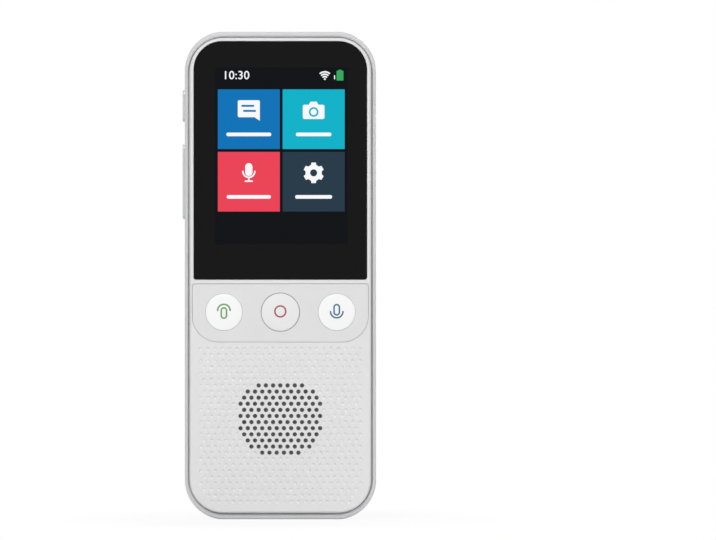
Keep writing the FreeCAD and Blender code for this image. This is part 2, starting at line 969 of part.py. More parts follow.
def battery():
    """A pouch cell with rounded edges and a folded terminal strip along its top."""
    half = battery_width / 2
    front = inner_back_y - tape_thickness - battery_thickness
    cell = box(
        -half, half, front, front + battery_thickness,
        battery_low_z, battery_top_z - chip_depth,
    )
    upright = [edge for edge in cell.Edges if edge.BoundBox.ZLength > battery_height / 2]
    cell = cell.makeFillet(battery_round, upright)
    strip = box(
        -half + wall, half - wall, front + wall, front + battery_thickness / 2 + wall / 2,
        battery_top_z - wall, battery_top_z,
    )
    return joined(cell, strip)


def battery_tape():
    half = battery_width / 3
    return box(
        -half, half, inner_back_y - tape_thickness, inner_back_y,
        battery_low_z + battery_width / 6, battery_top_z - battery_width / 6,
    )


def plug_low_z():
    return battery_top_z + 2 * plug_height + battery_rib


def battery_cable():
    """The flat lead from the cell's terminal strip, which bends forward to the plug."""
    front = inner_back_y - tape_thickness - battery_thickness
    leave_y = front + battery_thickness / 2
    plug_y = board_back_y + plug_depth / 2
    low = battery_top_z
    high = plug_low_z()
    points = (
        (leave_y, low),
        (leave_y, low + battery_lead_straight),
        (plug_y, high - battery_lead_straight),
        (plug_y, high),
    )
    return flat_cable(points, plug_height / 2, battery_lead_x, plug_width)


def plug_block(margin, y_margin, z_low, z_high):
    """A block around the plug's place on the main board."""
    half = plug_width / 2 + margin
    return box(
        battery_lead_x - half, battery_lead_x + half,
        board_back_y + y_margin, board_back_y + plug_depth - y_margin, z_low, z_high,
    )


def battery_plug():
    low = plug_low_z()
    plug = plug_block(0, 2 * fit_gap, low, low + plug_height)
    cable_slot = plug_block(fit_gap, plug_depth / 2 - flex_thickness, low - wall, low)
    return plug.cut(cable_slot)


def battery_socket():
    """A cup on the main board that takes the battery plug from below."""
    low = plug_low_z()
    high = low + plug_height
    cup = plug_block(wall / 2, 0, low + fit_gap, high + wall / 2)
    return cup.cut(plug_block(fit_gap / 2, fit_gap, low - wall, high + fit_gap / 2))


def window_back():
    return back_y - window_step - window_thickness


def camera_window():
    window = stadium(
        0, window_z, window_width - fit_gap, window_height - fit_gap,
        window_back(), back_y - window_step,
    )
    holes = [
        rod_y(lens_radius + fit_gap, lens_x, window_z, window_back() - wall, back_y + wall),
        rod_y(flash_radius + fit_gap, flash_x, window_z, window_back() - wall, back_y + wall),
    ]
    return window.cut(holes)


def window_tape():
    tape = stadium(
        0, window_z, window_width - 2 * wall, window_height - 2 * tape_margin,
        window_back() - tape_thickness, window_back(),
    )
    holes = [
        rod_y(lens_radius + 3 * fit_gap, lens_x, window_z, window_back() - wall, back_y),
        rod_y(flash_radius + 2 * fit_gap, flash_x, window_z, window_back() - wall, back_y),
    ]
    return tape.cut(holes)


def window_ring():
    """The thin trim ring around the camera window, level with the back."""
    low = window_back() - tape_thickness
    ring = window_ring_outline(ring_width, low, back_y)
    return ring.cut(window_ring_outline(0, low - wall, back_y + wall))


def camera_socket():
    half = camera_size / 2
    return box(
        lens_x - half, lens_x + half, board_back_y, board_back_y + camera_socket_depth,
        window_z - half, window_z + half,
    )


def camera_base_y():
    return back_y - window_step - camera_barrel_depth


def camera_base():
    """The camera's square housing, which fills the depth between its socket and its barrel."""
    half = camera_size / 2 - fit_gap
    base = box(
        lens_x - half, lens_x + half, board_back_y + camera_socket_depth, camera_base_y(),
        window_z - half, window_z + half,
    )
    return base.makeChamfer(wall / 4, edges_at(base, camera_base_y()))


def camera_barrel():
    """The lens barrel, with a conical mouth that narrows to the lens."""
    front = camera_base_y()
    mouth = back_y - window_step
    return turned(
        (
            (0, front),
            (lens_radius, front),
            (lens_radius, mouth),
            (lens_mouth_radius, mouth),
            (lens_face_radius, mouth - lens_sink),
            (0, mouth - lens_sink),
        ),
        lens_x, window_z,
    )


def camera_lens():
    """The lens, a clear disc seated in the barrel's mouth."""
    seat = back_y - window_step - lens_sink
    return rod_y(lens_face_radius - fit_gap / 2, lens_x, window_z, seat, seat + lens_thickness)


def flash_led():
    half = flash_radius
    return box(
        flash_x - half, flash_x + half, board_back_y, board_back_y + chip_depth,
        window_z - half, window_z + half,
    )


def flash_guide():
    """A clear rod that carries the flash's light to the window."""
    return rod_y(flash_radius, flash_x, window_z, board_back_y + chip_depth, back_y - 2 * window_step)


def power_key():
    """The short side key: cap, inner flange and a nub towards its switch."""
    cap = side_opening(power_key_z, power_key_length, 0, -body_width / 2 - side_key_proud, -wall_x + fit_gap)
    outer = cap.makeChamfer(side_key_proud / 3, cap_face_edges(cap))
    flange_x = -wall_x + fit_gap
    flange = side_opening(
        power_key_z, power_key_length, side_flange_lip, flange_x, flange_x + side_flange
    )
    nub = rod_x(side_nub_radius, side_key_y, power_key_z, flange_x, power_nub_x())
    return joined(outer, flange, nub)


def cap_face_edges(cap):
    """The edges around a side key's outer face."""
    flat = 1e-6
    face_x = cap.BoundBox.XMin
    return [edge for edge in cap.Edges if edge.BoundBox.XMax - face_x < flat]


def power_nub_x():
    return side_board_x - side_switch_depth - power_travel - fit_gap / 2


def power_plunger():
    start = power_nub_x()
    return rod_x(side_plunger_radius, side_key_y, power_key_z, start, side_board_x - power_travel - fit_gap / 2)


def side_switch_box(z, depth):
    half = side_board_width / 2 - fit_gap
    return box(
        side_board_x - depth, side_board_x, side_key_y - half, side_key_y + half, z - half, z + half
    )


def power_switch():
    body = side_switch_box(power_key_z, side_switch_depth)
    bore = rod_x(side_plunger_radius + fit_gap, side_key_y, power_key_z, -body_width, side_board_x)
    return body.cut(bore)


def volume_rocker():
    """The long side key: it rocks on a half-round fulcrum behind its middle."""
    flange_x = -wall_x + rocker_flange_gap
    cap = side_opening(rocker_z, rocker_length, 0, -body_width / 2 - side_key_proud, flange_x + fit_gap)
    outer = cap.makeChamfer(side_key_proud / 3, cap_face_edges(cap))
    flange = side_opening(
        rocker_z, rocker_length, side_flange_lip, flange_x, flange_x + side_flange
    )
    axis_x = rocker_axis_x()
    half = side_key_width / 2 - 2 * fit_gap
    fulcrum = rod(
        rocker_fulcrum_radius,
        Vector(axis_x, side_key_y - half, rocker_z), Vector(axis_x, side_key_y + half, rocker_z),
    )
    stem = box(
        flange_x, axis_x, side_key_y - half, side_key_y + half,
        rocker_z - rocker_fulcrum_radius, rocker_z + rocker_fulcrum_radius,
    )
    nubs = [
        rod_x(side_nub_radius, side_key_y, z, flange_x, rocker_nub_x())
        for z in (rocker_z - rocker_switch_offset, rocker_z + rocker_switch_offset)
    ]
    return joined(outer, flange, fulcrum, stem, *nubs)


def rocker_axis_x():
    return side_board_x - rocker_fulcrum_radius - fit_gap / 2


def rocker_nub_x():
    return -wall_x + rocker_flange_gap + side_flange + fit_gap


def volume_switches():
    return Part.makeCompound(
        [
            side_switch_box(rocker_z + side * rocker_switch_offset, side_switch_depth / 2)
            for side in (-1, 1)
        ]
    )


def microphones():
    half = microphone_size / 2
    low_mic, top_mic = microphone_places()
    cans = []
    for x, y, z in (low_mic, top_mic):
        cans.append(
            box(
                x - half, x + half, y - microphone_depth / 2, y + microphone_depth / 2,
                z, z + microphone_size,
            )
        )
    return Part.makeCompound(cans)


def microphone_boots():
    """Rubber boots that join each microphone to its sound hole."""
    half = microphone_size / 2
    depth = microphone_depth / 2
    (low_x, low_y, low_z), (top_x, top_y, top_z) = microphone_places()
    spans = (
        (low_x, low_y, end_wall, low_z),
        (top_x, top_y, top_z + microphone_size, body_height - end_wall),
    )
    boots = []
    for x, y, z_low, z_high in spans:
        boot = box(x - half, x + half, y - depth, y + depth, z_low, z_high)
        hole = rod(microphone_hole_radius / 2, Vector(x, y, z_low - wall), Vector(x, y, z_high + wall))
        boots.append(boot.cut(hole))
    return Part.makeCompound(boots)


def antenna():
    """A printed antenna sheet on the inside of the back, under the camera window."""
    return box(
        -battery_width / 2 + wall, battery_width / 4, inner_back_y - flex_thickness, inner_back_y,
        battery_top_z + 2 * battery_rib, window_z - window_height / 2 - 2 * ring_width - fit_gap,
    )


def make_parts():
    """Every separate piece of the translator by name."""
    parts = {
        "front_cover": front_cover(),
        "rear_shell": rear_shell(),
        "screen_glass": screen_glass(),
        "screen_tape": screen_tape(),
        "screen_bond": screen_bond(),
        "display_panel": display_panel(),
        "backlight": backlight(),
        "display_cable": display_cable(),
        "display_socket": display_socket(),
        "key_panel": key_panel(),
        "key_mat": key_mat(),
        "key_switches": key_switches(),
        "dust_mesh": dust_mesh(),
        "speaker_gasket": speaker_gasket(),
        "speaker_frame": speaker_frame(),
        "speaker_magnet": speaker_magnet(),
        "speaker_membrane": speaker_membrane(),
        "speaker_leads": speaker_leads(),
        "main_board": main_board(),
        "processor_shield": processor_shield(),
        "board_chips": board_chips(),
        "board_screws": board_screws(),
        "port_board": port_board(),
        "charging_port": charging_port(),
        "port_cable": port_cable(),
        "port_socket": port_socket(),
        "battery": battery(),
        "battery_tape": battery_tape(),
        "battery_cable": battery_cable(),
        "battery_plug": battery_plug(),
        "battery_socket": battery_socket(),
        "camera_window": camera_window(),
        "window_tape": window_tape(),
        "window_ring": window_ring(),
        "camera_socket": camera_socket(),
        "camera_base": camera_base(),
        "camera_barrel": camera_barrel(),
        "camera_lens": camera_lens(),
        "flash_led": flash_led(),
        "flash_guide": flash_guide(),
        "power_key": power_key(),
        "power_plunger": power_plunger(),
        "power_switch": power_switch(),
        "volume_rocker": volume_rocker(),
        "volume_switches": volume_switches(),
        "side_board": side_board_solid(0),
        "microphones": microphones(),
        "microphone_boots": microphone_boots(),
        "antenna": antenna(),
    }
    for name, x, radius in key_centers():
        crown = 0 if name == "record_key" else key_crown
        parts[name] = key_cap(x, radius, crown)
        parts[name + "_nub"] = key_nub(x)
        parts[name + "_plunger"] = key_plunger(x)
    return parts


os.makedirs("parts", exist_ok=True)
for name, shape in make_parts().items():
    shape.exportStep("parts/" + name + ".step")
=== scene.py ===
import json
import math

import bmesh
import bpy
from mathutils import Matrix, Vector
from mathutils.geometry import delaunay_2d_cdt


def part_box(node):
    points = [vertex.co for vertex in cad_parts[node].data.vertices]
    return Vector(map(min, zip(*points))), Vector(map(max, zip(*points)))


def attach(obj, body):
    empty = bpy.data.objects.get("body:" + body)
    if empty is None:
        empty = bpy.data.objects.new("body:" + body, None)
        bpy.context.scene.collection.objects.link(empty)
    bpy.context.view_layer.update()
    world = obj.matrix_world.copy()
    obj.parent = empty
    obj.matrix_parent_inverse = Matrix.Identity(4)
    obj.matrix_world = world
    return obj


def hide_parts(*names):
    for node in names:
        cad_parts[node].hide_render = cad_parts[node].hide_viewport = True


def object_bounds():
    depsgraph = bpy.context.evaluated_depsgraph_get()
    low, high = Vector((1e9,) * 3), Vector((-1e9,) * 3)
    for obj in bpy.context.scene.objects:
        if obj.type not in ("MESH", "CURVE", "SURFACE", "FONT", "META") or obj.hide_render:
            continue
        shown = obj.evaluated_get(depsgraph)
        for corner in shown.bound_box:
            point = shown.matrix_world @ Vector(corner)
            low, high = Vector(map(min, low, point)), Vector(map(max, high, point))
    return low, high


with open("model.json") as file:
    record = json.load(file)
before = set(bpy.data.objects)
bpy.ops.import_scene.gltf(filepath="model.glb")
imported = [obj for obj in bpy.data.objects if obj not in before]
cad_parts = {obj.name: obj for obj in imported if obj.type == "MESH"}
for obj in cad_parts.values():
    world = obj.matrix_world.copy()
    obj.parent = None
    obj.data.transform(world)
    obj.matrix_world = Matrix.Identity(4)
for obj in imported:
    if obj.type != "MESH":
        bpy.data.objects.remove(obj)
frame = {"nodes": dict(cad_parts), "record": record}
cad_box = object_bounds()

bl_info = {
    "name": "Handheld translator",
    "version": (1, 0, 0),
    "blender": (4, 5, 0),
    "location": "3D View > Sidebar > Translator",
    "description": "Dresses the packed handheld translator: covers, screen, keys, window and studio",
    "category": "Object",
}

MM = 0.001
FULL_TURN = 2 * math.pi
SAME_POINT = 1e-7
GLASS_GRAIN = 0.0003 * MM
WHITE = (1.0, 1.0, 1.0, 1.0)


# Outlines: lists of (x, z) points, counter-clockwise as seen from the front


def spot(x, z, radius, share):
    """The point at a share of a turn round (x, z)."""
    angle = FULL_TURN * share
    return x + radius * math.cos(angle), z + radius * math.sin(angle)


def rounding(width, depth, steps):
    """The (inset, depth) pairs of an elliptical round, from its front to its side."""
    angles = [math.pi / 2 * step / steps for step in range(steps + 1)]
    return [(width * (1 - math.sin(angle)), depth * (1 - math.cos(angle))) for angle in angles]


def rounded_outline(x_low, x_high, z_low, z_high, low_radius, top_radius, steps=16):
    """A rectangle with round lower and upper corners, starting at the lower right one."""
    corners = (
        (x_high - low_radius, z_low + low_radius, low_radius, -0.25),
        (x_high - top_radius, z_high - top_radius, top_radius, 0.0),
        (x_low + top_radius, z_high - top_radius, top_radius, 0.25),
        (x_low + low_radius, z_low + low_radius, low_radius, 0.5),
    )
    points = []
    for x, z, radius, start in corners:
        for step in range(steps + 1):
            point = spot(x, z, radius, start + 0.25 * step / steps)
            if all(math.dist(point, other) > SAME_POINT for other in points[-1:] + points[:1]):
                points.append(point)
    return points


def round_box(x, z, width, height, radius, steps=6):
    """A rectangle round its middle, with four like corners."""
    half_width = width / 2
    half_height = height / 2
    return rounded_outline(
        x - half_width, x + half_width, z - half_height, z + half_height, radius, radius, steps
    )


def grown(low, high, spread, low_radius, top_radius, steps=16):
    """The outline of a box, with its sides and its corner radii grown by a spread."""
    return rounded_outline(
        low.x - spread, high.x + spread, low.z - spread, high.z + spread,
        low_radius + spread, top_radius + spread, steps,
    )


def circle(x, z, radius, segments=24):
    return [spot(x, z, radius, step / segments) for step in range(segments)]


def arc_band(x, z, radius, width, start, end, steps=18, cap_steps=5):
    """A curved stroke with round ends, between two shares of a turn."""
    half = width / 2
    points = []
    for reach, first, last, outward in ((radius + half, start, end, 0.0), (radius - half, end, start, 0.5)):
        for step in range(steps + 1):
            points.append(spot(x, z, reach, first + (last - first) * step / steps))
        middle = spot(x, z, radius, last)
        for step in range(1, cap_steps):
            points.append(spot(*middle, half, last + outward + 0.5 * step / cap_steps))
    return points


def capsule(x, z, width, height, steps=8, side_steps=4):
    """An upright outline with half-round ends and points along its straight sides."""
    radius = width / 2
    straight = height / 2 - radius
    points = []
    for start, direction in ((0.0, -1), (0.5, 1)):
        center_z = z - direction * straight
        points += [spot(x, center_z, radius, start + 0.5 * step / steps) for step in range(steps + 1)]
        side = points[-1][0]
        for step in range(1, side_steps):
            points.append((side, center_z + direction * 2 * straight * step / side_steps))
    return points


def placed(plates, x, z):
    """Plates drawn in millimetres round (0, 0), brought to their place."""
    return [[[(x + u * MM, z + v * MM) for u, v in outline] for outline in plate] for plate in plates]


def middle_of(node):
    """The middle of a node as seen from the front, and half its width."""
    low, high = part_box(node)
    return (low.x + high.x) / 2, (low.z + high.z) / 2, (high.x - low.x) / 2


# Meshes


def linked(name, data):
    """A new object of the scene."""
    made = bpy.data.objects.new(name, data)
    bpy.context.scene.collection.objects.link(made)
    return made


class Shape:
    """A mesh in the making, built from closed loops that lie square to the depth direction."""

    def __init__(self):
        self.mesh = bmesh.new()

    def loop(self, outline, y):
        return [self.mesh.verts.new((x, y, z)) for x, z in outline]

    def wall(self, first, second):
        for index in range(len(first)):
            self.mesh.faces.new((first[index - 1], first[index], second[index], second[index - 1]))

    def stacked(self, steps):
        """The loops of (outline, y) steps, with walls between them."""
        loops = [self.loop(outline, y) for outline, y in steps]
        for first, second in zip(loops, loops[1:]):
            self.wall(first, second)
        return loops

    def fill(self, outer, *holes):
        """Closes an outer loop, leaving its holes open. A hole's outline bulges outward all round."""
        verts = []
        edges = []
        owners = []
        for owner, loop in enumerate((outer, *holes)):
            ring = range(len(verts), len(verts) + len(loop))
            edges += zip(ring, [*ring[1:], ring[0]])
            verts += loop
            owners += [owner] * len(loop)
        flat = [Vector((vert.co.x / MM, vert.co.z / MM)) for vert in verts]
        inside_edges = 1
        closest = 1e-6
        result = delaunay_2d_cdt(flat, edges, [], inside_edges, closest)
        sources = [source[0] for source in result[3]]
        for face in result[2]:
            corners = [sources[index] for index in face]
            around = {owners[corner] for corner in corners}
            if around == {0} or len(around) > 1:
                self.mesh.faces.new([verts[corner] for corner in corners])

    def tip(self, loop, x, y, z):
        """Closes a loop to a single point."""
        top = self.mesh.verts.new((x, y, z))
        for index in range(len(loop)):
            self.mesh.faces.new((loop[index - 1], loop[index], top))

    def crease(self, *loops):
        """Keeps the shading on the two sides of each loop apart."""
        for loop in loops:
            for index in range(len(loop)):
                edge = self.mesh.edges.get((loop[index - 1], loop[index]))
                if edge:
                    edge.smooth = False

    def plate(self, y_front, y_back, outer, *holes):
        """A flat piece of one thickness, with holes through it."""
        fronts = [self.loop(outline, y_front) for outline in (outer, *holes)]
        backs = [self.loop(outline, y_back) for outline in (outer, *holes)]
        self.fill(*fronts)
        self.fill(*backs)
        for front, back in zip(fronts, backs):
            self.wall(front, back)
        self.crease(*fronts, *backs)

    def turned(self, x, z, top, profile, segments=64):
        """A turned solid, from its tip outward through (radius, y) points to a flat end."""
        loops = self.stacked([(circle(x, z, radius, segments), y) for radius, y in profile])
        self.tip(loops[0], x, top, z)
        self.fill(loops[-1])
        return loops

    def finished(self, name):
        """The mesh as an object of the scene, with its faces outward."""
        bmesh.ops.recalc_face_normals(self.mesh, faces=self.mesh.faces)
        data = bpy.data.meshes.new(name)
        self.mesh.to_mesh(data)
        self.mesh.free()
        return linked(name, data)

    def piece(self, name, material, body, slot):
        """The finished object, which rides on a body of the frame."""
        for face in self.mesh.faces:
            face.smooth = True
        made = self.finished(name)
        made.data.materials.append(material)
        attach(made, body)
        return made


def cutter(name, outline, low, high, axis):
    """An object that only cuts another: an outline drawn out along one axis."""
    shape = Shape()
    shape.plate(low, high, outline)
    for vert in shape.mesh.verts:
        across, depth, up = vert.co
        vert.co = {"X": (depth, across, up), "Y": (across, depth, up), "Z": (across, up, depth)}[axis]
    return shape.finished(name)


def carve(piece, cutters):
    """Cuts the cutters out of the piece, and removes them."""
    for tool in cutters:
        modifier = piece.modifiers.new(tool.name, "BOOLEAN")
        modifier.operation = "DIFFERENCE"
        modifier.solver = "EXACT"
        modifier.object = tool
    bpy.context.view_layer.update()
    graph = bpy.context.evaluated_depsgraph_get()
    carved = bpy.data.meshes.new_from_object(piece.evaluated_get(graph))
    piece.modifiers.clear()
    mesh = bmesh.new()
    mesh.from_mesh(carved)
    bmesh.ops.remove_doubles(mesh, verts=mesh.verts, dist=SAME_POINT)
    bmesh.ops.dissolve_degenerate(mesh, edges=mesh.edges, dist=SAME_POINT)
    bmesh.ops.holes_fill(mesh, edges=[edge for edge in mesh.edges if edge.is_boundary])
    mesh.to_mesh(carved)
    mesh.free()
    piece.data = carved
    for tool in cutters:
        bpy.data.objects.remove(tool)


# Materials


def maths(operation, swapped=False):
    """A method that adds a Math node for a level and the values given with it."""
    def method(self, *others):
        values = (*others, self) if swapped else (self, *others)
        node = self.nodes.node("ShaderNodeMath", {"operation": operation}, dict(enumerate(values)))
        return Level(self.nodes, node.outputs[0])
    return method


class Level:
    """A number that changes over a surface, so that a mask is written as a sum."""

    def __init__(self, nodes, socket):
        self.nodes = nodes
        self.socket = socket

    def clamped(self):
        node = self.nodes.node("ShaderNodeClamp", None, {"Value": self})
        return Level(self.nodes, node.outputs[0])

    __add__ = __radd__ = maths("ADD")
    __sub__ = maths("SUBTRACT")
    __rsub__ = maths("SUBTRACT", swapped=True)
    __mul__ = __rmul__ = maths("MULTIPLY")
    __truediv__ = maths("DIVIDE")
    __pow__ = maths("POWER")
    __abs__ = maths("ABSOLUTE")
    sine = maths("SINE")
    below = maths("LESS_THAN")


class Nodes:
    """A tree of shader nodes, of a material or of the world."""

    def __init__(self, tree):
        self.tree = tree

    def node(self, kind, settings=None, inputs=None):
        made = self.tree.nodes.new(kind)
        for key, value in (settings or {}).items():
            setattr(made, key, value)
        for key, value in (inputs or {}).items():
            self.feed(made.inputs[key], value)
        return made

    def feed(self, socket, value):
        if isinstance(value, Level):
            value = value.socket
        if isinstance(value, bpy.types.NodeSocket):
            self.tree.links.new(value, socket)
        else:
            socket.default_value = value

    def mix(self, share, first, second):
        """A colour between two colours."""
        return self.node("ShaderNodeMix", {"data_type": "RGBA"}, {0: share, 6: first, 7: second}).outputs[2]

    def seen(self):
        """1 for what the camera, a reflection or glass shows, and 0 for the light on the object."""
        rays = self.node("ShaderNodeLightPath").outputs
        total = Level(self, rays["Is Camera Ray"]) + rays["Is Glossy Ray"] + rays["Is Transmission Ray"]
        return total.clamped()


class Finish(Nodes):
    """One material: a plain shader, and the nodes that vary it over the surface."""

    def __init__(self, name, **constants):
        self.material = bpy.data.materials.new(name)
        self.material.use_nodes = True
        super().__init__(self.material.node_tree)
        self.shader = self.tree.nodes["Principled BSDF"]
        for key, value in constants.items():
            self.shader.inputs[key.replace("_", " ")].default_value = value

    def place(self):
        """The point on the object, in metres."""
        return self.node("ShaderNodeTexCoord").outputs["Object"]

    def along(self):
        """The three coordinates of the point on the object, in metres."""
        parts = self.node("ShaderNodeSeparateXYZ", None, {0: self.place()})
        return [Level(self, socket) for socket in parts.outputs]

    def noise(self, size, detail=2.0, scale=None):
        """Soft random shade, with blotches of a size in metres, and a scale for each direction."""
        point = self.place()
        if scale:
            point = self.node(
                "ShaderNodeVectorMath", {"operation": "MULTIPLY"}, {0: point, 1: scale}
            ).outputs[0]
        node = self.node("ShaderNodeTexNoise", None, {"Vector": point, "Scale": 1 / size, "Detail": detail})
        return Level(self, node.outputs[0])

    def varied(self, share, first, second, roughness):
        """Two colours mixed by a share, and a roughness."""
        self.feed(self.shader.inputs["Base Color"], self.mix(share, first, second))
        self.feed(self.shader.inputs["Roughness"], roughness)
        return self.material

    def relief(self, height, depth):
        """Small bumps: a height from 0 to 1, and the depth that 1 stands for, in metres."""
        bump = self.node("ShaderNodeBump", None, {"Height": height, "Distance": depth, "Strength": 1.0})
        self.feed(self.shader.inputs["Normal"], bump.outputs[0])


def shade(colour, factor=1.0):
    """A colour made darker or lighter, with its fourth part."""
    return (*(min(1.0, part * factor) for part in colour[:3]), 1.0)


def moulded(name, colour, roughness, depth=0.004 * MM, mottle=0.03, **constants):
    """Moulded plastic with a fine spark-eroded grain and a little colour drift."""
    finish = Finish(name, **constants)
    grain_size = 0.35 * MM
    drift_size = 14 * MM
    fine = finish.noise(grain_size, 3.0)
    broad = finish.noise(drift_size)
    finish.relief(fine, depth)
    return finish.varied(
        (broad * 0.7 + fine * 0.3).clamped(), shade(colour, 1 - mottle), shade(colour, 1 + mottle),
        (fine - 0.5) * 0.12 + (broad - 0.5) * 0.08 + roughness,
    )


def brushed(name, colour, roughness, scale=(1.0, 1.0, 12.0), depth=0.003 * MM):
    """Metal with fine lines across one direction."""
    finish = Finish(name, Metallic=1.0)
    line_size = 0.8 * MM
    lines = finish.noise(line_size, 3.0, scale)
    finish.relief(lines, depth)
    return finish.varied(lines, shade(colour, 0.9), shade(colour, 1.06), lines * 0.16 + (roughness - 0.08))


def plated(name, colour):
    """Bright plating with faint polishing marks."""
    finish = Finish(name, Metallic=1.0)
    mark_size = 0.5 * MM
    marks = finish.noise(mark_size, 3.0)
    return finish.varied(marks, shade(colour, 0.96), shade(colour), marks * 0.08 + 0.10)


def circuit_board(name, colour):
    """Solder mask with pale tracks on a grid, broken up so that they start and stop."""
    finish = Finish(name)
    x, _, z = finish.along()
    turn = FULL_TURN / (1.4 * MM)
    track_share = 0.25
    patch_size = 6 * MM
    upright = abs((x * turn).sine()).below(track_share)
    level = abs((z * turn).sine()).below(track_share)
    patches = finish.noise(patch_size, 0.0)
    tracks = (upright * patches.below(0.48) + level * (1 - patches.below(0.55))).clamped()
    finish.relief(tracks, 0.02 * MM)
    return finish.varied(tracks, shade(colour), shade(colour, 1.9), finish.noise(0.4 * MM) * 0.1 + 0.3)


def woven(name, colour, pitch):
    """Fine cloth: threads over and under in two directions, darker where a thread dips under as painted
    shade, and lighter where it rides over as a painted highlight.
    """
    finish = Finish(name)
    x, y, z = finish.along()
    turn = FULL_TURN / pitch
    threads = ((x * turn).sine() * ((z + y) * turn).sine() * 0.5 + 0.5).clamped()
    finish.relief(threads, 0.04 * MM)
    # The colour follows the threads' height: painted shade in the dips, and a painted highlight on the raised
    # threads.
    return finish.varied(threads, shade(colour, 0.55), shade(colour, 1.5), threads * 0.1 + 0.8)


def flat_lead(name, colour):
    """Amber film with copper tracks along it."""
    finish = Finish(name)
    track_pitch = 0.5 * MM
    tracks = (finish.along()[0] * (FULL_TURN / track_pitch)).sine().below(0.1)
    finish.relief(tracks, 0.01 * MM)
    return finish.varied(tracks, shade(colour), shade(colour, 0.55), tracks * 0.1 + 0.32)


def rings(name, node, colours, pitch, roughness, **constants):
    """A round moulding with fine ribs round the middle of its node, such as a lens barrel, with painted shade
    in the rib valleys and a painted highlight on the crests.
    """
    finish = Finish(name, **constants)
    middle_x, middle_z, _ = middle_of(node)
    x, _, z = finish.along()
    radius = ((x - middle_x) ** 2.0 + (z - middle_z) ** 2.0) ** 0.5
    ribs = (radius * (FULL_TURN / pitch)).sine() * 0.5 + 0.5
    finish.relief(ribs, 0.02 * MM)
    # The first colour lies in the valleys as painted shade, and the second lies on the crests as a painted
    # highlight.
    return finish.varied(ribs.clamped(), shade(colours[0]), shade(colours[1]), ribs * 0.08 + roughness)


def lit(name, colour, strength=1.0, roughness=0.12):
    """A part of the screen's picture: dark gloss that gives off its own colour."""
    finish = Finish(name, Specular_IOR_Level=0.08, Emission_Color=shade(colour), Emission_Strength=strength)
    dot_size = 0.12 * MM
    dots = finish.noise(dot_size, 1.0)
    return finish.varied(dots, shade(colour, 0.02), shade(colour, 0.05), dots * 0.04 + roughness)


def dress(node, material):
    """Gives a solid of the frame its finish."""
    slots = frame["nodes"][node].data.materials
    if not slots:
        slots.append(material)
    for index in range(len(slots)):
        slots[index] = material


# Settings


def size(name, description, millimetres):
    return bpy.props.FloatProperty(
        name=name, description=description, default=millimetres * MM, min=0.0, unit="LENGTH", precision=5
    )


def tint(name, description, default):
    return bpy.props.FloatVectorProperty(
        name=name, description=description, default=default, size=3, min=0.0, max=1.0, subtype="COLOR"
    )


def number(name, description, default):
    return bpy.props.FloatProperty(name=name, description=description, default=default)


class CoverSettings(bpy.types.PropertyGroup):
    colour: tint("Colour", "Colour of the front moulding", (0.77, 0.77, 0.77))
    edge_radius: size("Edge radius", "Width of the round on the outer front edge", 0.6)
    edge_depth: size("Edge depth", "Depth of the round on the outer front edge", 1.5)
    corner_radius: size("Corner radius", "Corner of the front moulding, seen from the front", 9.25)
    wall: size("Wall", "Thickness of the grille", 1.2)
    hole_pitch: size("Hole pitch", "Spacing of the grille's holes along a row", 2.0)
    row_pitch: size("Row pitch", "Spacing of the grille's rows", 1.69)
    top_row: size("Top row", "Height of the uppermost row of dimples", 47.2)
    hole_radius: size("Hole radius", "Radius of a grille hole", 0.6)
    grille_radius: size("Grille radius", "Radius of the field of open holes", 11.75)
    grille_height: size("Grille height", "Height of the middle of the open holes", 27.95)
    grille_reach: size("Grille reach", "How far the open rows reach above and below the middle", 10.0)
    dimple_radius: size("Dimple radius", "Radius of a blind dimple", 0.56)
    dimple_depth: size("Dimple depth", "Depth of a blind dimple", 0.3)
    dimple_margin: size("Dimple margin", "Space between the outermost dimples and the edge", 2.35)


class ShellSettings(bpy.types.PropertyGroup):
    colour: tint("Colour", "Colour of the rear moulding", (0.67, 0.67, 0.68))
    corner_radius: size("Corner radius", "Corner of the rear moulding, seen from the front", 10.975)
    back_radius: size("Back radius", "Round between the sides and the back", 7.5)
    rim_radius: size("Rim radius", "Round on the outside of the rim around the front moulding", 0.65)
    rim_depth: size("Rim depth", "Depth of the round on the outside of the rim", 1.3)
    rim_width: size("Rim width", "Width of the rim around the front moulding", 1.0)
    end_flat: size("End flat", "Amount that is cut flat at each end", 0.1)


class ScreenSettings(bpy.types.PropertyGroup):
    glass: tint("Glass border", "Ink behind the glass around the picture", (0.0030, 0.0030, 0.0034))
    dark: tint("Picture ground", "Colour of the unlit picture", (0.0008, 0.0020, 0.0040))
    talk: tint("First tile", "Colour of the talk tile", (0.0009, 0.162, 0.451))
    camera: tint("Second tile", "Colour of the camera tile", (0.0012, 0.423, 0.558))
    record: tint("Third tile", "Colour of the recording tile", (0.799, 0.051, 0.089))
    setup: tint("Fourth tile", "Colour of the settings tile", (0.017, 0.038, 0.062))
    ink: tint("Icons", "Colour of the icons and labels", (0.95, 0.96, 0.97))
    charge: tint("Charge", "Colour of the charge mark", (0.03, 0.38, 0.10))
    tile_width: size("Tile width", "Width of a tile", 17.15)
    tile_height: size("Tile height", "Height of a tile", 16.5)
    tile_gap: size("Tile gap", "Gap between the tiles", 0.78)
    tiles_top: size("Tiles top", "Height of the upper edge of the tiles", 118.95)


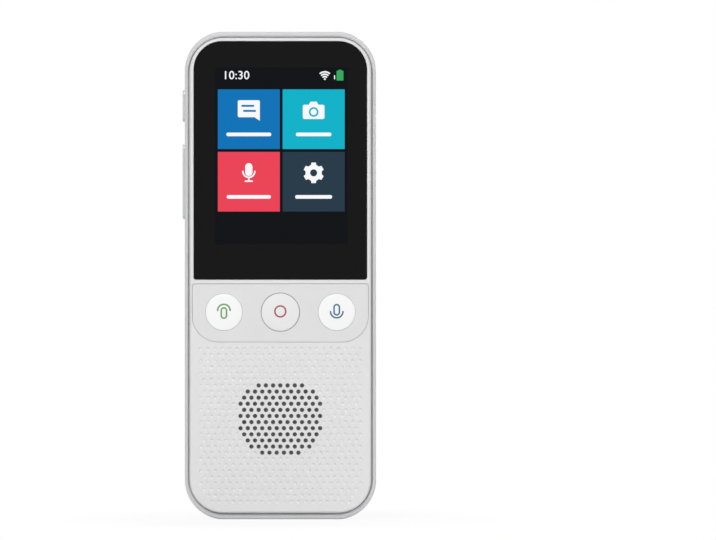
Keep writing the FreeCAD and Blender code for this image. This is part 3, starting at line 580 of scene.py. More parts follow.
class KeySettings(bpy.types.PropertyGroup):
    panel: tint("Panel", "Colour of the key panel", (0.75, 0.75, 0.75))
    white: tint("Talk keys", "Colour of the two talk keys", (0.95, 0.955, 0.95))
    silver: tint("Record key", "Colour of the record key", (0.83, 0.83, 0.83))
    green: tint("Left icon", "Colour of the left key's icon", (0.12, 0.32, 0.08))
    red: tint("Middle icon", "Colour of the middle key's icon", (0.36, 0.05, 0.08))
    blue: tint("Right icon", "Colour of the right key's icon", (0.02, 0.13, 0.26))
    side: tint("Side keys", "Colour of the keys on the left edge", (0.62, 0.63, 0.64))
    stroke: size("Icon stroke", "Width of an icon's lines", 0.43)
    icon_rise: size("Icon rise", "How far an icon's middle is above its key's middle", 0.22)
    talk_growth: size("Talk key growth", "How much wider a talk key's cap is than its solid", 0.1)
    record_growth: size("Record key growth", "How much wider the record key's cap is than its solid", 0.05)


class StageSettings(bpy.types.PropertyGroup):
    floor: tint("Floor", "Colour of the floor", (0.86, 0.86, 0.86))
    floor_white: number("Floor white", "Share of plain white that the camera sees on the floor", 0.88)
    shadow_reach: size("Shadow reach", "Distance at which the floor starts to turn white", 35.0)
    ambient: number("Ambient", "Strength of the light from all around", 0.30)
    key_level: number("Key light", "Share of the light from the large lamp in front", 0.50)
    fill_level: number("Fill light", "Share of the light from the lamp on the right", 0.20)
    top_level: number("Top light", "Share of the light from above", 0.14)
    back_level: number("Back light", "Share of the light from the large lamp behind", 0.66)
    camera_distance: size("Camera distance", "From the camera to the front of the object", 1500.0)
    picture_width: size("Picture width", "Width that the picture covers at the object", 198.0)
    aside: size("Aside", "How far the camera stands to the right of the object", 21.48)
    camera_height: size("Camera height", "Height of the camera", 69.0)


# Front cover

COVER_HALF_WIDTH = 25.15 * MM
COVER_END_GAP = 1.75 * MM
SEAT_DEPTH = 2.6 * MM
PLATE_DEPTH = 2.15 * MM
HEM = 1.45 * MM
DISPLAY_GAP = 0.25 * MM
KEY_GAP = 0.3 * MM
SPEAKER_POCKET = 28.0 * MM
HOLE_MOUTH = ((0.07 * MM, 0.0), (0.02 * MM, 0.03 * MM), (0.0, 0.09 * MM))
DIMPLE_SHARES = (1.0, 0.8, 0.55, 0.3)
HOLE_SIDES = 20
DIMPLE_SIDES = 14
WIDE_SIDES = 48
DISPLAY_CORNER = 0.05 * MM
KEY_RADII = {"talk_key_left": 5.0 * MM, "record_key": 5.25 * MM, "talk_key_right": 5.0 * MM}


def key_place(name):
    """The middle of a front key, seen from the front, and its radius."""
    x, z, _ = middle_of(name + "_nub")
    return x, z, KEY_RADII[name]


def lattice(cover):
    """Every place of the grille's lattice, with every other row shifted by half a pitch."""
    low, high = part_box("front_cover")
    rows = int((cover.top_row - low.z) / cover.row_pitch)
    columns = int(high.x / cover.hole_pitch) + 1
    for row in range(rows):
        z = cover.top_row - row * cover.row_pitch
        shift = cover.hole_pitch / 2 if row % 2 else 0.0
        for column in range(-columns, columns + 1):
            yield column * cover.hole_pitch + shift, z


def keeps_margin(x, z, low, high, margin, radius):
    """Whether a point keeps its margin from the sides, the lower edge and the lower corners."""
    away_x = abs(x) - (high.x - radius)
    away_z = (low.z + radius) - z
    return math.hypot(max(away_x, 0.0), max(away_z, 0.0)) <= radius - margin


def recess(shape, node, front, openings, gap, low_radius, top_radius, depth, lip):
    """A pocket for a node with softened edges, and a floor with what opens through it."""
    low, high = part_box(node)
    softer = lip * 0.3
    steps = []
    for spread, y in ((lip, 0.0), (softer, softer), (0.0, lip), (0.0, depth)):
        steps.append((grown(low, high, gap + spread, low_radius, top_radius), front + y))
    loops = shape.stacked(steps)
    floor = [shape.loop(opening, front + depth) for opening in openings]
    shape.fill(loops[-1], *floor)
    shape.crease(loops[0], loops[-1], *floor)
    return loops[0], floor


def build_front_cover(cover, material):
    """The front moulding: round outer edge, recesses for glass and key panel, holes and dimples."""
    shape = Shape()
    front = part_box("front_cover")[0].y
    seat = front + SEAT_DEPTH
    plate_back = front + PLATE_DEPTH
    wall_back = front + cover.wall
    low = Vector((-COVER_HALF_WIDTH, front, cad_box[0][2] + COVER_END_GAP))
    high = Vector((COVER_HALF_WIDTH, front, cad_box[1][2] - COVER_END_GAP))

    def outline(inset):
        return grown(low, high, -inset, cover.corner_radius, cover.corner_radius)

    face_land = 0.06 * MM
    edge_steps = 10
    steps = [(outline(cover.edge_radius + face_land), front)]
    for inset, depth in rounding(cover.edge_radius, cover.edge_depth, edge_steps):
        steps.append((outline(inset), front + depth))
    outer = shape.stacked([*steps, (outline(0.0), seat)])
    shape.crease(outer[-1])

    display_low, display_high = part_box("display_panel")
    corner = DISPLAY_CORNER
    display_hole = grown(display_low, display_high, DISPLAY_GAP, corner, corner, 4)
    screen_mouth, screen_floor = recess(
        shape, "screen_glass", front, [display_hole],
        gap=0.12 * MM, low_radius=0.6 * MM, top_radius=7.8 * MM, depth=1.15 * MM, lip=0.12 * MM,
    )
    key_holes = [circle(x, z, radius + KEY_GAP, WIDE_SIDES) for x, z, radius in map(key_place, KEY_RADII)]
    panel_mouth, panel_floor = recess(
        shape, "key_panel", front, key_holes,
        gap=0.1 * MM, low_radius=7.2 * MM, top_radius=0.8 * MM, depth=1.0 * MM, lip=0.06 * MM,
    )

    mouths = [screen_mouth, panel_mouth]
    grille_backs = []
    hole = [(cover.hole_radius + wider, depth) for wider, depth in (*HOLE_MOUTH, (0.0, cover.wall))]
    dimple = [(cover.dimple_radius * share, cover.dimple_depth * (1 - share ** 2)) for share in DIMPLE_SHARES]
    for x, z in lattice(cover):
        height = z - cover.grille_height
        is_open = abs(height) <= cover.grille_reach and math.hypot(x, height) <= cover.grille_radius
        if not is_open and not keeps_margin(x, z, low, high, cover.dimple_margin, cover.corner_radius):
            continue
        steps, sides = (hole, HOLE_SIDES) if is_open else (dimple, DIMPLE_SIDES)
        loops = shape.stacked([(circle(x, z, radius, sides), front + depth) for radius, depth in steps])
        mouths.append(loops[0])
        shape.crease(loops[0])
        if is_open:
            grille_backs.append(loops[-1])
        else:
            shape.tip(loops[-1], x, front + cover.dimple_depth, z)
    shape.fill(outer[0], *mouths)

    inner = shape.stacked([(outline(HEM), seat), (outline(HEM), plate_back)])
    shape.fill(outer[-1], inner[0])
    shape.crease(*inner)
    backs = []
    for opening in screen_floor + panel_floor:
        backs.append(shape.loop([(vert.co.x, vert.co.z) for vert in opening], plate_back))
        shape.wall(opening, backs[-1])
    square = [
        (across * SPEAKER_POCKET / 2, cover.grille_height + up * SPEAKER_POCKET / 2)
        for across, up in ((-1, -1), (1, -1), (1, 1), (-1, 1))
    ]
    pocket = shape.stacked([(square, plate_back), (square, wall_back)])
    shape.fill(pocket[1], *grille_backs)
    backs.append(pocket[0])
    shape.crease(pocket[1], *backs, *grille_backs)
    shape.fill(inner[1], *backs)
    made = shape.piece("front_moulding", material, "housing", "cover_plastic")
    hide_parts("front_cover")


# Rear shell

SHELL_WALL = 1.8 * MM
SHELL_END_WALL = 2.2 * MM
INNER_ROLL = 3.4 * MM
RIM_END_EXTRA = 0.4 * MM
SHELL_STEPS = 24
SMALLEST_CORNER = 0.5 * MM
WAY_RADII = {"camera_barrel": 2.9 * MM, "flash_guide": 1.3 * MM}
WAY_DEPTH = 4 * MM
WINDOW_GAP = 0.05 * MM
SIDE_KEY_LENGTHS = {"power_key": 8.9 * MM, "volume_rocker": 20.8 * MM}
SIDE_KEY_WIDTH = 2.6 * MM
SIDE_KEY_Y = -2.4 * MM
SLOT_GAP = 0.15 * MM
SLOT_REACH = (-30 * MM, -24.4 * MM)
PORT_GAP = 0.1 * MM
MICROPHONE_HOLE = 0.5 * MM
MICROPHONE_LOW_X = 9.5 * MM
MICROPHONE_TOP_X = -8.0 * MM
CUT_REACH = 3 * MM
SLOT_STEPS = 12


def build_rear_shell(shell, material):
    """The rear moulding: rim, straight sides, a wide soft roll to the back, and its openings."""
    shape = Shape()
    low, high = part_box("rear_shell")
    rim = low.y
    back = high.y
    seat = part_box("front_cover")[0].y + SEAT_DEPTH

    def outline(inset, end_inset=None):
        """The shell's outline drawn in, at its ends by their own inset where there is one."""
        end = (inset if end_inset is None else end_inset) - shell.end_flat
        radius = max(shell.corner_radius - inset, SMALLEST_CORNER)
        points = rounded_outline(
            inset - high.x, high.x - inset, low.z + end, high.z - end, radius, radius, SHELL_STEPS
        )
        return [(x, min(max(z, low.z), high.z)) for x, z in points]

    rim_steps = 6
    roll_steps = 22
    back_land = 0.08 * MM
    inner_round = shell.rim_width - shell.rim_radius
    end_extra = RIM_END_EXTRA + shell.end_flat
    steps = []
    for depth, outward in rounding(inner_round, inner_round, rim_steps)[:-1]:
        inset = shell.rim_width - outward
        extra = end_extra * (1 - outward / inner_round)
        steps.append((outline(inset, inset + extra), rim + depth))
    for inset, depth in rounding(shell.rim_radius, shell.rim_depth, rim_steps):
        steps.append((outline(inset), rim + depth))
    for depth, inset in rounding(shell.back_radius, shell.back_radius, roll_steps):
        steps.append((outline(inset), back - depth))
    loops = shape.stacked([*steps, (outline(shell.back_radius + back_land), back)])
    shape.fill(loops[-1])

    end_wall = SHELL_END_WALL + shell.end_flat
    inside = shape.stacked([
        (outline(shell.rim_width, shell.rim_width + end_extra), seat),
        (outline(SHELL_WALL, end_wall), seat),
        (outline(SHELL_WALL, end_wall), back - SHELL_WALL - INNER_ROLL),
        (outline(SHELL_WALL + INNER_ROLL, end_wall + INNER_ROLL), back - SHELL_WALL),
    ])
    shape.wall(loops[0], inside[0])
    shape.fill(inside[-1])
    shape.crease(loops[0], *inside)
    made = shape.piece("rear_moulding", material, "housing", "shell_plastic")
    carve(made, shell_cutters(low, high))
    sharp_corner = math.radians(32)
    made.data.set_sharp_from_angle(angle=sharp_corner)
    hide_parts("rear_shell")


def shell_cutters(low, high):
    """What opens the shell: the window's seat and ways, side slots, port mouth, microphone holes."""
    ring_low, ring_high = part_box("window_ring")
    tape_low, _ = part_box("window_tape")
    window_z = (ring_low.z + ring_high.z) / 2
    radius = (ring_high.z - ring_low.z) / 2 - WINDOW_GAP
    seat = grown(ring_low, ring_high, WINDOW_GAP, radius, radius, SHELL_STEPS)
    cutters = [cutter("window_seat", seat, tape_low.y, high.y + CUT_REACH, "Y")]
    for node, radius in WAY_RADII.items():
        way = circle(middle_of(node)[0], window_z, radius, WIDE_SIDES)
        cutters.append(cutter(node + "_way", way, high.y - WAY_DEPTH, high.y, "Y"))

    width = SIDE_KEY_WIDTH + 2 * SLOT_GAP
    for key, length in SIDE_KEY_LENGTHS.items():
        height = length + 2 * SLOT_GAP
        slot = round_box(SIDE_KEY_Y, middle_of(key)[1], width, height, width / 2, SLOT_STEPS)
        cutters.append(cutter(key + "_slot", slot, *SLOT_REACH, "X"))

    port_low, port_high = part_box("charging_port")
    nearly_round = 0.01 * MM
    radius = (port_high.y - port_low.y) / 2 + PORT_GAP - nearly_round
    mouth = rounded_outline(
        port_low.x - PORT_GAP, port_high.x + PORT_GAP, port_low.y - PORT_GAP, port_high.y + PORT_GAP,
        radius, radius, SLOT_STEPS,
    )
    cutters.append(cutter("port_mouth", mouth, low.z - CUT_REACH, low.z + CUT_REACH, "Z"))
    boots_low, boots_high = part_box("microphone_boots")
    for x, z in ((MICROPHONE_LOW_X, low.z), (MICROPHONE_TOP_X, high.z)):
        hole = circle(x, (boots_low.y + boots_high.y) / 2, MICROPHONE_HOLE)
        cutters.append(cutter("microphone_hole", hole, z - CUT_REACH, z + CUT_REACH, "Z"))
    return cutters


# Screen

PICTURE_MIDDLE = 0.25 * MM
PICTURE_HALF_WIDTH = 18.36 * MM
PICTURE_TOP = 125.05 * MM
PICTURE_LOW = 76.1 * MM
SHARP = 0.05 * MM
GROUND_RISE = 0.008 * MM
TILE_RISE = 0.014 * MM
ICON_RISE = 0.020 * MM
LABEL_DROP = 4.2 * MM
LABEL_HEIGHT = 1.0 * MM
LABEL_RADIUS = 0.45 * MM
CLOCK_X = -15.95 * MM
CLOCK_Z = 121.8 * MM
CLOCK_HEIGHT = 2.4 * MM
SIGNAL_PLACE = (12.3 * MM, 121.75 * MM)
CHARGE_PLACE = (16.5 * MM, 122.75 * MM)


def build_picture(screen):
    """The lit menu: ground, status line, tiles with icons, and plain bars for the labels."""
    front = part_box("screen_glass")[0].y

    def part(name, material, rise, plates):
        shape = Shape()
        for outer, *holes in plates:
            shape.plate(front - rise, front, outer, *holes)
        shape.piece(name, material, "housing", "screen_glass")

    ground = rounded_outline(
        PICTURE_MIDDLE - PICTURE_HALF_WIDTH, PICTURE_MIDDLE + PICTURE_HALF_WIDTH,
        PICTURE_LOW, PICTURE_TOP, SHARP, SHARP, 1,
    )
    ground_finish = lit("picture_ground", screen.dark, roughness=0.2)
    part("picture_ground", ground_finish, GROUND_RISE, [[ground]])

    ink = lit("picture_ink", screen.ink, 0.95)
    step_x = (screen.tile_width + screen.tile_gap) / 2
    step_z = screen.tile_height + screen.tile_gap
    top_z = screen.tiles_top - screen.tile_height / 2
    tiles = (
        ("talk", -1, 0, screen.talk, speech_icon(), 2.9 * MM, 12.4 * MM),
        ("camera", 1, 0, screen.camera, camera_icon(), 2.35 * MM, 9.8 * MM),
        ("record", -1, 1, screen.record, microphone_icon(), 2.5 * MM, 12.2 * MM),
        ("setup", 1, 1, screen.setup, gear_icon(), 2.45 * MM, 10.2 * MM),
    )
    for name, side, row, colour, icon, icon_rise, label_width in tiles:
        x = PICTURE_MIDDLE + side * step_x
        z = top_z - row * step_z
        tile = round_box(x, z, screen.tile_width, screen.tile_height, SHARP, 1)
        label = round_box(x, z - LABEL_DROP, label_width, LABEL_HEIGHT, LABEL_RADIUS)
        part("tile_" + name, lit("tile_" + name, colour), TILE_RISE, [[tile]])
        part("icon_" + name, ink, ICON_RISE, placed(icon, x, z + icon_rise))
        part("label_" + name, ink, ICON_RISE, [[label]])

    clock = clock_digits("10:30", front - ICON_RISE, front)
    clock.data.materials.append(ink)
    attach(clock, "housing")

    part("signal_mark", ink, ICON_RISE, placed(signal_mark(), *SIGNAL_PLACE))
    charge = [[round_box(0, 0, 1.9, 2.7, 0.15)], [round_box(0, 1.45, 0.9, 0.35, 0.1)]]
    part("charge_mark", lit("charge_mark", screen.charge), ICON_RISE, placed(charge, *CHARGE_PLACE))


# Icons: plates in millimetres round (0, 0), each an outline and its holes

MARK_RADIUS = 1.72


def speech_icon():
    """A speech bubble with a tail for its lower right corner, and two plain lines in it."""
    half_width = 3.05
    half_height = 2.35
    corner = 0.4
    corner_points = 5
    bubble = rounded_outline(-half_width, half_width, -half_height, half_height, corner, corner, 4)
    tail = [(half_width - 1.5, -half_height), (half_width, -half_height - 0.95)]
    lines = [round_box(x, z, 3.6, 0.55, 0.25, 3) for x, z in ((-0.3, 0.8), (0.2, -0.6))]
    return [[bubble[corner_points:] + tail, *lines]]


def camera_icon():
    """A camera body with a hump, a lens ring and its middle."""
    top = 1.65
    hump_top = 2.5
    lens_z = -0.35
    right_points = 10
    body = rounded_outline(-3.0, 3.0, -2.3, top, 0.5, 0.5, 4)
    hump = [(1.35, top), (0.8, hump_top), (-0.8, hump_top), (-1.35, top)]
    body = body[:right_points] + hump + body[right_points:]
    return [[body, circle(0, lens_z, 1.35, 28)], [circle(0, lens_z, 0.85, 24)]]


def microphone_icon():
    """A round-ended microphone in a cradle on a stand."""
    line = 0.42
    return [
        [capsule(0, 0.85, 2.0, 3.6)],
        [arc_band(0, 0.35, 1.65, line, 0.5, 1.0)],
        [round_box(0, -1.85, line, 0.75, 0.05)],
        [round_box(0, -2.35, 2.3, line, 0.2)],
    ]


def gear_icon():
    """A cog with flat, tapering teeth round a hole."""
    teeth = 6
    root = 2.28
    crest = 2.9
    cog = []
    for tooth in range(teeth):
        for share, radius in ((-0.32, root), (-0.20, crest), (0.20, crest), (0.32, root)):
            cog.append(spot(0, 0, radius, 0.25 + (tooth + share) / teeth))
    return [[cog, circle(0, 0, 0.98)]]


def signal_mark():
    """Three arcs over a dot, and a short bar beside them."""
    arcs = [[arc_band(0, 0, reach, 0.42, 0.145, 0.355)] for reach in (0.75, 1.4, 2.05)]
    return arcs + [[circle(0, 0.05, 0.26, 16)], [round_box(2.7, 0.55, 0.28, 1.1, 0.1)]]


def talk_icon(stroke, rise, arc_rise, start):
    """An upright ring beside a half arc, which begins at a share of a turn."""
    width = 1.9
    height = 3.3
    ring = [capsule(0, rise, width, height), capsule(0, rise, width - 2 * stroke, height - 2 * stroke)]
    return [ring, [arc_band(0, arc_rise, MARK_RADIUS, stroke, start, start + 0.5)]]


def ring_icon(stroke):
    """A plain ring."""
    return [[circle(0, 0, MARK_RADIUS, 40), circle(0, 0, MARK_RADIUS - stroke, 40)]]


def clock_digits(text, y_front, y_back):
    """Plain digits from Blender's own letters, laid flat against the glass."""
    letters = bpy.data.curves.new("clock_digits", "FONT")
    letters.body = text
    letters.size = CLOCK_HEIGHT * 1.35
    letters.space_character = 1.04
    letters.offset = 0.02 * MM
    source = linked("clock_letters", letters)
    bpy.context.view_layer.update()
    graph = bpy.context.evaluated_depsgraph_get()
    flat = bpy.data.meshes.new_from_object(source.evaluated_get(graph))
    bpy.data.objects.remove(source)
    shape = Shape()
    mesh = shape.mesh
    mesh.from_mesh(flat)
    bmesh.ops.remove_doubles(mesh, verts=mesh.verts, dist=SAME_POINT)
    raised = bmesh.ops.extrude_face_region(mesh, geom=mesh.faces[:])
    fronts = {part for part in raised["geom"] if isinstance(part, bmesh.types.BMVert)}
    for vert in mesh.verts:
        y = y_front if vert in fronts else y_back
        vert.co = Vector((CLOCK_X + vert.co.x, y, CLOCK_Z + vert.co.y))
    return shape.finished("clock_digits")


# Front keys

CAP_SINK = 0.02 * MM
CAP_CROWN = 0.30 * MM
CAP_EDGE = 0.25 * MM
CAP_DEPTH = 1.6 * MM
CAP_SIDES = 72
PRINT_DEPTH = 0.012 * MM
EIGHTHS = [step / 8 for step in range(1, 9)]


def build_front_key(name, material, ink, icon, keys):
    """A key cap with a crowned face and a soft edge, and its printed icon."""
    x, z, radius = key_place(name)
    record = name == "record_key"
    radius += keys.record_growth if record else keys.talk_growth
    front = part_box(name)[0].y + CAP_SINK
    reach = radius - CAP_EDGE

    def face(away):
        """The depth of the crowned face at a distance from its middle."""
        return front + CAP_CROWN * (away / reach) ** 2

    edge_steps = 5
    profile = [(reach * share, face(reach * share)) for share in EIGHTHS]
    for inset, depth in rounding(CAP_EDGE, CAP_EDGE, edge_steps)[1:]:
        profile.append((radius - inset, face(reach) + depth))
    profile.append((radius, front + CAP_DEPTH))
    shape = Shape()
    loops = shape.turned(x, z, front, profile, CAP_SIDES)
    shape.crease(loops[-1])
    made = shape.piece(name + "_cap", material, name, "key_silver" if record else "key_white")
    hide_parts(name)

    shape = Shape()
    for outer, *holes in placed(icon, x, z + keys.icon_rise):
        shape.plate(-PRINT_DEPTH, PRINT_DEPTH, outer, *holes)
    for vert in shape.mesh.verts:
        vert.co.y += face(math.hypot(vert.co.x - x, vert.co.z - z))
    shape.piece(name + "_icon", ink, name, "key_white")


# Camera window

BEAD_GAP = 0.03 * MM
MOUTH_INSET = 0.62 * MM
SOFT_EDGE = 0.1 * MM
LENS_BULGE = 0.32 * MM
LENS_GAP = 0.03 * MM
LENS_STEP = 0.02 * MM
FLASH_RIDGES = 4
RIDGE_DEPTH = 0.07 * MM


def build_window_ring(material):
    """The bright bead around the window, half round in section."""
    low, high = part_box("window_ring")
    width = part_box("camera_window")[0].x - low.x - BEAD_GAP
    end_radius = (high.z - low.z) / 2
    bead_rise = 0.45 * width
    bead_steps = 10
    steps = [(0.0, low.y)]
    for step in range(bead_steps + 1):
        angle = math.pi * step / bead_steps
        steps.append((width / 2 * (1 - math.cos(angle)), high.y - bead_rise * (1 - math.sin(angle))))
    steps.append((width, low.y))
    shape = Shape()
    loops = shape.stacked(
        [(grown(low, high, -inset, end_radius, end_radius, SHELL_STEPS), y) for inset, y in steps]
    )
    shape.wall(loops[-1], loops[0])
    shape.crease(loops[0], loops[-1])
    made = shape.piece("window_bead", material, "housing", "trim_silver")
    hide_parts("window_ring")


def build_lens(barrel_material, glass_material):
    """The stepped black barrel, and the bulging front lens in it."""
    x, z, radius = middle_of("camera_barrel")
    low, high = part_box("camera_barrel")
    _, _, lens_radius = middle_of("camera_lens")
    lens_low, lens_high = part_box("camera_lens")
    face = high.y
    mouth = radius - MOUTH_INSET
    ledge = lens_high.y + 0.32 * MM
    collar = ((0.0, 0.0), (0.06, 0.04), (0.10, 0.28))
    profile = [(lens_radius - LENS_STEP, lens_low.y)]
    profile += [(lens_radius + wider * MM, lens_high.y + higher * MM) for wider, higher in collar]
    profile += [
        (lens_radius + 0.14 * MM, ledge), (mouth - 0.12 * MM, ledge), (mouth - 0.06 * MM, ledge + 0.06 * MM),
        (mouth, face - 0.08 * MM), (mouth + 0.08 * MM, face), (radius - SOFT_EDGE, face),
        (radius, face - SOFT_EDGE), (radius, low.y),
    ]
    ledge_edge = 5
    shape = Shape()
    loops = shape.turned(x, z, lens_low.y, profile)
    shape.crease(loops[0], loops[ledge_edge], loops[-1])
    made = shape.piece("lens_barrel", barrel_material, "housing", "lens_black")
    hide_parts("camera_barrel")

    rim = lens_radius - LENS_GAP
    profile = [(rim * share, lens_high.y + LENS_BULGE * (1 - share ** 2)) for share in EIGHTHS]
    profile.append((rim, lens_low.y + LENS_STEP))
    shape = Shape()
    loops = shape.turned(x, z, lens_high.y + LENS_BULGE, profile)
    shape.crease(loops[-2])
    made = shape.piece("front_lens", glass_material, "housing", "lens_glass")
    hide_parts("camera_lens")


def build_flash(material):
    """The round clear flash cap with fine steps around its middle."""
    x, z, radius = middle_of("flash_guide")
    low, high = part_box("flash_guide")
    groove = high.y - RIDGE_DEPTH
    inner = 0.2 * radius
    pitch = (radius - inner) / (FLASH_RIDGES + 1)
    profile = [(inner * 0.5, high.y - 0.01 * MM), (inner, groove)]
    for ridge in range(FLASH_RIDGES):
        start = inner + ridge * pitch
        profile += [(start + 0.15 * pitch, high.y), (start + pitch, groove)]
    profile += [(radius - 0.4 * pitch, high.y), (radius, groove), (radius, low.y)]
    shape = Shape()
    loops = shape.turned(x, z, high.y, profile)
    shape.crease(loops[-1])
    made = shape.piece("flash_cap", material, "housing", "flash_clear")
    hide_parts("flash_guide")


# Operators


class TRANSLATOR_OT_front_cover(bpy.types.Operator):
    """Build the front moulding with its grille and dimples"""
    bl_idname = "translator.front_cover"
    bl_label = "Front cover"

    def execute(self, context):
        cover = context.scene.translator_cover
        material = moulded("cover_plastic", cover.colour, 0.46)
        build_front_cover(cover, material)
        return {"FINISHED"}


class TRANSLATOR_OT_rear_shell(bpy.types.Operator):
    """Build the rear moulding with its soft back edge and its openings"""
    bl_idname = "translator.rear_shell"
    bl_label = "Rear shell"

    def execute(self, context):
        shell = context.scene.translator_shell
        material = moulded("shell_plastic", shell.colour, 0.5, Specular_IOR_Level=0.4)
        build_rear_shell(shell, material)
        return {"FINISHED"}


class TRANSLATOR_OT_screen(bpy.types.Operator):
    """Dress the glass and lay the lit menu on it"""
    bl_idname = "translator.screen"
    bl_label = "Screen"

    def execute(self, context):
        screen = context.scene.translator_screen
        glass = moulded("screen_glass", screen.glass, 0.09, GLASS_GRAIN, Specular_IOR_Level=0.1)
        dress("screen_glass", glass)
        build_picture(screen)
        return {"FINISHED"}


class TRANSLATOR_OT_front_keys(bpy.types.Operator):
    """Build the three front keys with their icons, and dress their panel"""
    bl_idname = "translator.front_keys"
    bl_label = "Front keys"

    def execute(self, context):
        keys = context.scene.translator_keys
        dress("key_panel", moulded("key_panel", keys.panel, 0.45))
        print_grain = 0.001 * MM
        white = moulded(
            "key_white", keys.white, 0.2, print_grain, 0.01, Coat_Weight=0.4, Coat_Roughness=0.1
        )
        silver = moulded("key_silver", keys.silver, 0.33, mottle=0.015)
        stroke = keys.stroke / MM
        plans = (
            ("talk_key_left", white, keys.green, talk_icon(stroke, -0.45, 0.25, 0.0)),
            ("record_key", silver, keys.red, ring_icon(stroke)),
            ("talk_key_right", white, keys.blue, talk_icon(stroke, 0.45, -0.05, 0.5)),
        )
        for name, material, colour, icon in plans:
            ink = moulded(name + "_ink", colour, 0.35, print_grain)
            build_front_key(name, material, ink, icon, keys)
        return {"FINISHED"}


class TRANSLATOR_OT_side_keys(bpy.types.Operator):
    """Dress the keys on the left edge"""
    bl_idname = "translator.side_keys"
    bl_label = "Side keys"

    def execute(self, context):
        keys = context.scene.translator_keys
        material = moulded("side_key", keys.side, 0.3, Metallic=0.3)
        for node in ("power_key", "volume_rocker"):
            dress(node, material)
        return {"FINISHED"}


class TRANSLATOR_OT_window(bpy.types.Operator):
    """Dress the camera window, and build its ring, the lens and the flash cap"""
    bl_idname = "translator.window"
    bl_label = "Camera window"

    def execute(self, context):
        black = (0.0045, 0.0045, 0.005)
        pane = moulded("window_black", black, 0.08, GLASS_GRAIN, Specular_IOR_Level=0.18)
        dress("camera_window", pane)
        build_window_ring(plated("trim_silver", (0.97, 0.97, 0.97)))
        # Each colour pair below holds the painted shade for the ribs' valleys and the painted highlight for
        # their crests.
        barrel_painted_shade_and_highlight = ((0.006, 0.006, 0.007), (0.020, 0.020, 0.022))
        barrel = rings(
            "lens_black", "camera_lens", barrel_painted_shade_and_highlight, 0.5 * MM, 0.25, Specular_IOR_Level=0.3
        )
        glass_painted_shade_and_highlight = ((0.004, 0.005, 0.014), (0.010, 0.008, 0.030))
        glass = rings(
            "lens_glass", "camera_lens", glass_painted_shade_and_highlight, 1.6 * MM, 0.03,
            Specular_IOR_Level=0.4, Coat_Weight=0.3,
        )
        build_lens(barrel, glass)
        flash_painted_shade_and_highlight = ((0.52, 0.52, 0.36), (0.74, 0.73, 0.52))
        build_flash(rings("flash_clear", "flash_guide", flash_painted_shade_and_highlight, 0.3 * MM, 0.15))
        dress("flash_led", moulded("flash_die", (0.75, 0.62, 0.10), 0.5))
        return {"FINISHED"}


class TRANSLATOR_OT_inside(bpy.types.Operator):
    """Dress the boards, cables, battery, speaker and seals inside"""
    bl_idname = "translator.inside"
    bl_label = "Inside"

    def execute(self, context):
        plain = (1.0, 1.0, 1.0)
        plans = (
            (brushed, "steel", (0.56, 0.56, 0.57), 0.3),
            (brushed, "metal_can", (0.72, 0.72, 0.73), 0.35, (1.0, 1.0, 0.1)),
            (moulded, "chip_black", (0.03, 0.03, 0.032), 0.55),
            (moulded, "silicone", (0.58, 0.58, 0.56), 0.5),
            (moulded, "rubber_black", (0.02, 0.02, 0.02), 0.7),
            (woven, "tape_black", (0.03, 0.03, 0.03), 0.5 * MM),
            (woven, "cloth_black", (0.20, 0.20, 0.205), 0.25 * MM),
            (circuit_board, "board_green", (0.012, 0.13, 0.055)),
            (flat_lead, "flex_amber", (0.42, 0.20, 0.04)),
            (brushed, "battery_silver", (0.62, 0.63, 0.65), 0.4, plain, 0.02 * MM),
            (moulded, "display_dark", (0.03, 0.03, 0.035), 0.2),
            (brushed, "magnet", (0.30, 0.30, 0.32), 0.35),
        )
        finishes = {slot: make(slot, *values) for make, slot, *values in plans}
        for entry in frame["record"]["subparts"]:
            material = finishes.get(entry["material_slot"])
            if material:
                dress(entry["node"], material)
        return {"FINISHED"}


class TRANSLATOR_OT_stage(bpy.types.Operator):
    """Build the floor, the studio light, the background and the camera"""
    bl_idname = "translator.stage"
    bl_label = "Stage"

    def execute(self, context):
        stage = context.scene.translator_stage
        build_floor(stage)
        build_world(stage)
        build_lamps(stage)
        build_camera(stage)
        return {"FINISHED"}


# Stage


def build_floor(stage):
    """A wide floor that shows its shadow near the object, and fades to white further off."""
    half = 3.0
    data = bpy.data.meshes.new("floor")
    corners = [(-half, -half, 0.0), (half, -half, 0.0), (half, half, 0.0), (-half, half, 0.0)]
    data.from_pydata(corners, [], [(0, 1, 2, 3)])
    floor = linked("floor", data)
    finish = Finish("floor", Base_Color=shade(stage.floor), Roughness=0.9, Specular_IOR_Level=0.0)
    x, y, _ = finish.along()
    away = ((x ** 2.0 + y ** 2.0) ** 0.5 - stage.shadow_reach) / stage.shadow_reach
    whiteness = (away.clamped() * (1 - stage.floor_white) + stage.floor_white) * finish.seen()
    white = finish.node("ShaderNodeEmission", None, {"Color": WHITE})
    shaders = {0: whiteness, 1: finish.shader.outputs[0], 2: white.outputs[0]}
    mixed = finish.node("ShaderNodeMixShader", None, shaders)
    finish.feed(finish.tree.nodes["Material Output"].inputs["Surface"], mixed.outputs[0])
    data.materials.append(finish.material)


def build_world(stage):
    """Even light from all around, which the camera sees as white."""
    world = bpy.data.worlds.new("studio")
    bpy.context.scene.world = world
    world.use_nodes = True
    studio = Nodes(world.node_tree)
    level = stage.ambient
    light = studio.mix(studio.seen(), (level, level, level, 1.0), WHITE)
    studio.feed(studio.tree.nodes["Background"].inputs["Color"], light)


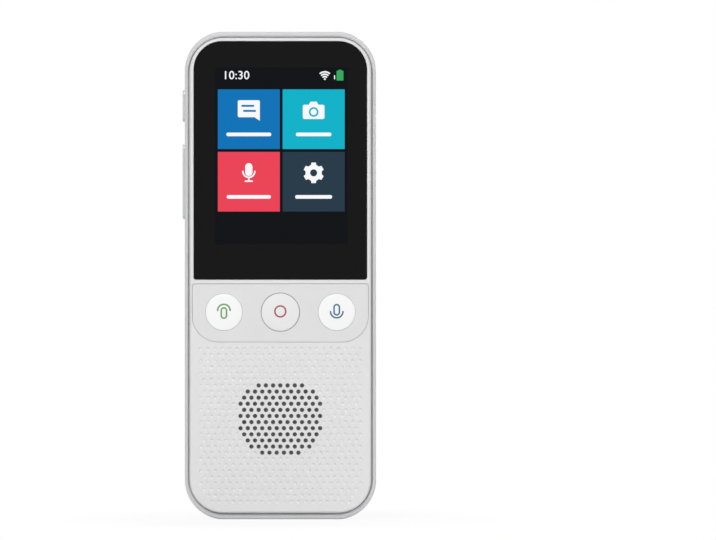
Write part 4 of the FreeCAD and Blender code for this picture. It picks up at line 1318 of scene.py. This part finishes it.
def build_lamps(stage):
    """Four large square lamps that face the object. A level of 1 lights a white face fully."""
    aim = Vector((0.0, 0.0, 0.07))
    lamps = (
        ("key_lamp", Vector((-0.55, -1.30, 1.05)), 1.1, stage.key_level),
        ("fill_lamp", Vector((1.10, -1.00, 0.55)), 1.0, stage.fill_level),
        ("top_lamp", Vector((0.10, 0.35, 1.50)), 1.2, stage.top_level),
        ("back_lamp", Vector((0.45, 1.55, 0.60)), 1.1, stage.back_level),
    )
    for name, place, width, level in lamps:
        light = bpy.data.lights.new(name, "AREA")
        light.shape = "SQUARE"
        light.size = width
        away = place - aim
        light.energy = level * math.pi ** 2 * away.length_squared
        lamp = linked(name, light)
        lamp.location = place
        lamp.rotation_euler = away.to_track_quat("Z", "Y").to_euler()


def build_camera(stage):
    """The camera, level and square to the front, a little to the right of the object."""
    data = bpy.data.cameras.new("camera")
    data.lens = data.sensor_width * stage.camera_distance / stage.picture_width
    data.clip_start = 0.05
    camera = linked("camera", data)
    low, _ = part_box("front_cover")
    camera.location = (stage.aside, low.y - stage.camera_distance, stage.camera_height)
    camera.rotation_euler = (math.pi / 2, 0.0, 0.0)
    bpy.context.scene.camera = camera


# Panel and registration


class TRANSLATOR_PT_panel(bpy.types.Panel):
    """Lists the translator's settings and builders"""
    bl_idname = "TRANSLATOR_PT_panel"
    bl_label = "Translator"
    bl_space_type = "VIEW_3D"
    bl_region_type = "UI"
    bl_category = "Translator"

    def draw(self, context):
        for operator in OPERATORS:
            self.layout.operator(operator.bl_idname)
        for name, group in GROUPS:
            box = self.layout.box()
            for key in group.__annotations__:
                box.prop(getattr(context.scene, name), key)


OPERATORS = (
    TRANSLATOR_OT_stage,
    TRANSLATOR_OT_front_cover,
    TRANSLATOR_OT_rear_shell,
    TRANSLATOR_OT_screen,
    TRANSLATOR_OT_front_keys,
    TRANSLATOR_OT_side_keys,
    TRANSLATOR_OT_window,
    TRANSLATOR_OT_inside,
)

GROUPS = (
    ("translator_cover", CoverSettings),
    ("translator_shell", ShellSettings),
    ("translator_screen", ScreenSettings),
    ("translator_keys", KeySettings),
    ("translator_stage", StageSettings),
)


def register():
    for name, group in GROUPS:
        bpy.utils.register_class(group)
        setattr(bpy.types.Scene, name, bpy.props.PointerProperty(type=group))
    for operator in OPERATORS:
        bpy.utils.register_class(operator)
    bpy.utils.register_class(TRANSLATOR_PT_panel)


def unregister():
    bpy.utils.unregister_class(TRANSLATOR_PT_panel)
    for operator in reversed(OPERATORS):
        bpy.utils.unregister_class(operator)
    for name, group in reversed(GROUPS):
        delattr(bpy.types.Scene, name)
        bpy.utils.unregister_class(group)


def main():
    register()
    bpy.context.scene.view_settings.view_transform = "Standard"
    for operator in OPERATORS:
        family, name = operator.bl_idname.split(".")
        getattr(getattr(bpy.ops, family), name)()


if __name__ == "__main__":
    main()
